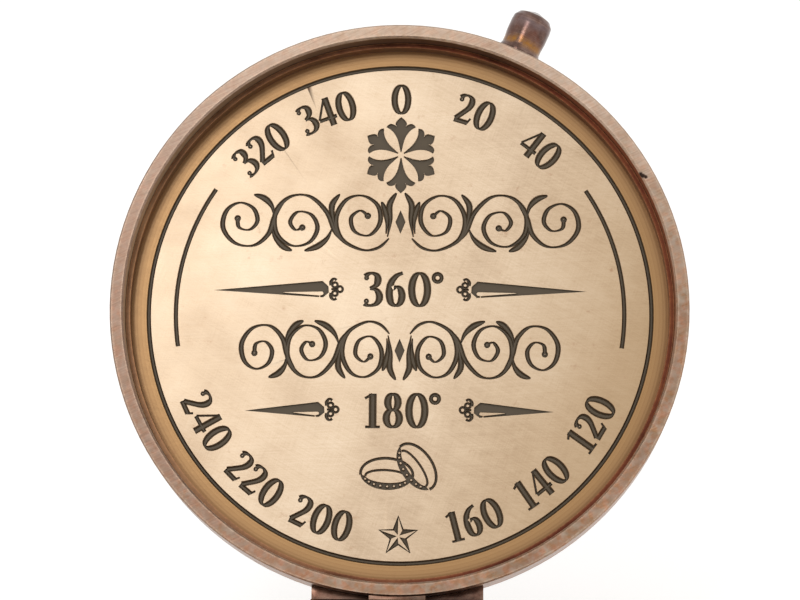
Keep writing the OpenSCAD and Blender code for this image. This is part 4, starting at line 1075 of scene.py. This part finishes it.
# Every solid's finish, also of those that a piece above replaces
finishes = (
    (antiqueBrass, ("base_case", "bezel")),
    (rubbedBrass, ("lid_shell",)),
    (copperBrass, ("plate_ring",)),
    (engravedBrass, ("lid_plate",)),
    (knobBronze, ("lid_knob",)),
    (darkBronze, ("base_hinge_leaf", "lid_hinge_leaf")),
    (screwBrass, ("dial_screws", "base_hinge_screws", "lid_hinge_screws")),
    (firedEnamel, ("dial_plate",)),
    (dialBrass, ("chapter_ring",)),
    (turnedBrass, ("pivot_post", "fulcrum_bracket", "glass_retainer", "lifter_pin", "lifter_lever",
                   "lift_collar", "needle_cap", "needle_balance")),
    (plainSteel, ("pivot_point", "bracket_screws", "fulcrum_pin", "spring_screw", "hinge_pin")),
    (springBronze, ("return_spring",)),
    (needleSteel, ("needle",)),
    (ruby, ("cap_jewel",)),
    (glass, ("compass_glass",)),
    (rubber, ("glass_gasket",)),
)
for material, names in finishes:
    for name in names:
        nodes[name].data.materials.clear()
        nodes[name].data.materials.append(material)
print("finished", sum(len(names) for material, names in finishes), "solids")


# White paper floor under soft light; it glows a little for rays from the camera, mirrors and glass
stage = {"floorSize": 4.0, "dropMm": 0.02, "floorColour": "#f4f3f1", "glow": 0.42, "skyOnObject": 0.72}


# 1 for rays from the camera, mirrors and glass, and 0 for the rest
def directRays(add):
    isCamera, isGlossy, isTransmission = [
        add("LightPath", out=name) for name in ("Is Camera Ray", "Is Glossy Ray", "Is Transmission Ray")]
    shown = add("Math", [isGlossy, isTransmission], operation="MAXIMUM")
    return add("Math", [isCamera, shown], operation="MAXIMUM")


selectNone()
bpy.ops.mesh.primitive_plane_add(size=stage["floorSize"], location=(0, 0, -stage["dropMm"] * mm))
floor = bpy.context.object
floor.name = "floor"
paper, add = newMaterial("white paper")
glow = add("Math", [directRays(add), stage["glow"]], operation="MULTIPLY")
glow = add("Emission", {"Color": (1, 1, 1, 1), "Strength": glow})
add("OutputMaterial", [add("AddShader", [add("BsdfDiffuse", [linear(stage["floorColour"])]), glow])], None)
floor.data.materials.append(paper)

world = bpy.data.worlds.new("studio")
scene.world = world
world.use_nodes = True
world.node_tree.nodes.clear()
add = partial(addNode, world.node_tree)
sky = add("MapRange", [directRays(add), 0, 1, stage["skyOnObject"], 1])
add("OutputWorld", [add("Background", {"Color": (1, 1, 1, 1), "Strength": sky})], None)

lampAim = Vector((0, 0.04, 0.04))
lamps = {
    "keyLamp": {"spot": (-0.25, -0.65, 0.68), "size": 0.25, "power": 1.24},
    "fillLamp": {"spot": (0.7, -0.5, 0.45), "size": 0.6, "power": 0.2},
}
for name, lamp in lamps.items():
    data = bpy.data.lights.new(name, "AREA")
    data.size = lamp["size"]
    data.energy = lamp["power"]
    light = addObject(name, data)
    light.location = lamp["spot"]
    light.rotation_mode = "QUATERNION"
    light.rotation_quaternion = (lampAim - Vector(lamp["spot"])).to_track_quat("-Z", "Y")

# The photograph's view: nearly straight into the open lid, from a little below its axis
view = {"azimuth": 1.0, "elevation": 15.0, "distance": 439.3, "aimUp": 0.8, "aimRight": 0.1, "lens": 153.0,
        "nearest": 0.01, "farthest": 20}        # the last two are in metres
a, e = math.radians(view["azimuth"]), math.radians(view["elevation"])
back = Vector((math.sin(a) * math.cos(e), -math.cos(a) * math.cos(e), math.sin(e)))
right = Vector((math.cos(a), math.sin(a), 0))
aim = lidPlace.translation + back.cross(right) * view["aimUp"] + right * view["aimRight"]
camera = addObject("camera", bpy.data.cameras.new("camera"))
camera.data.lens = view["lens"]
camera.data.clip_start = view["nearest"]
camera.data.clip_end = view["farthest"]
camera.location = (aim + back * view["distance"]) * mm
camera.rotation_mode = "QUATERNION"
camera.rotation_quaternion = (-back).to_track_quat("-Z", "Y")
scene.camera = camera
scene.view_settings.view_transform = "Standard"
print("stage, lamps and camera are set")
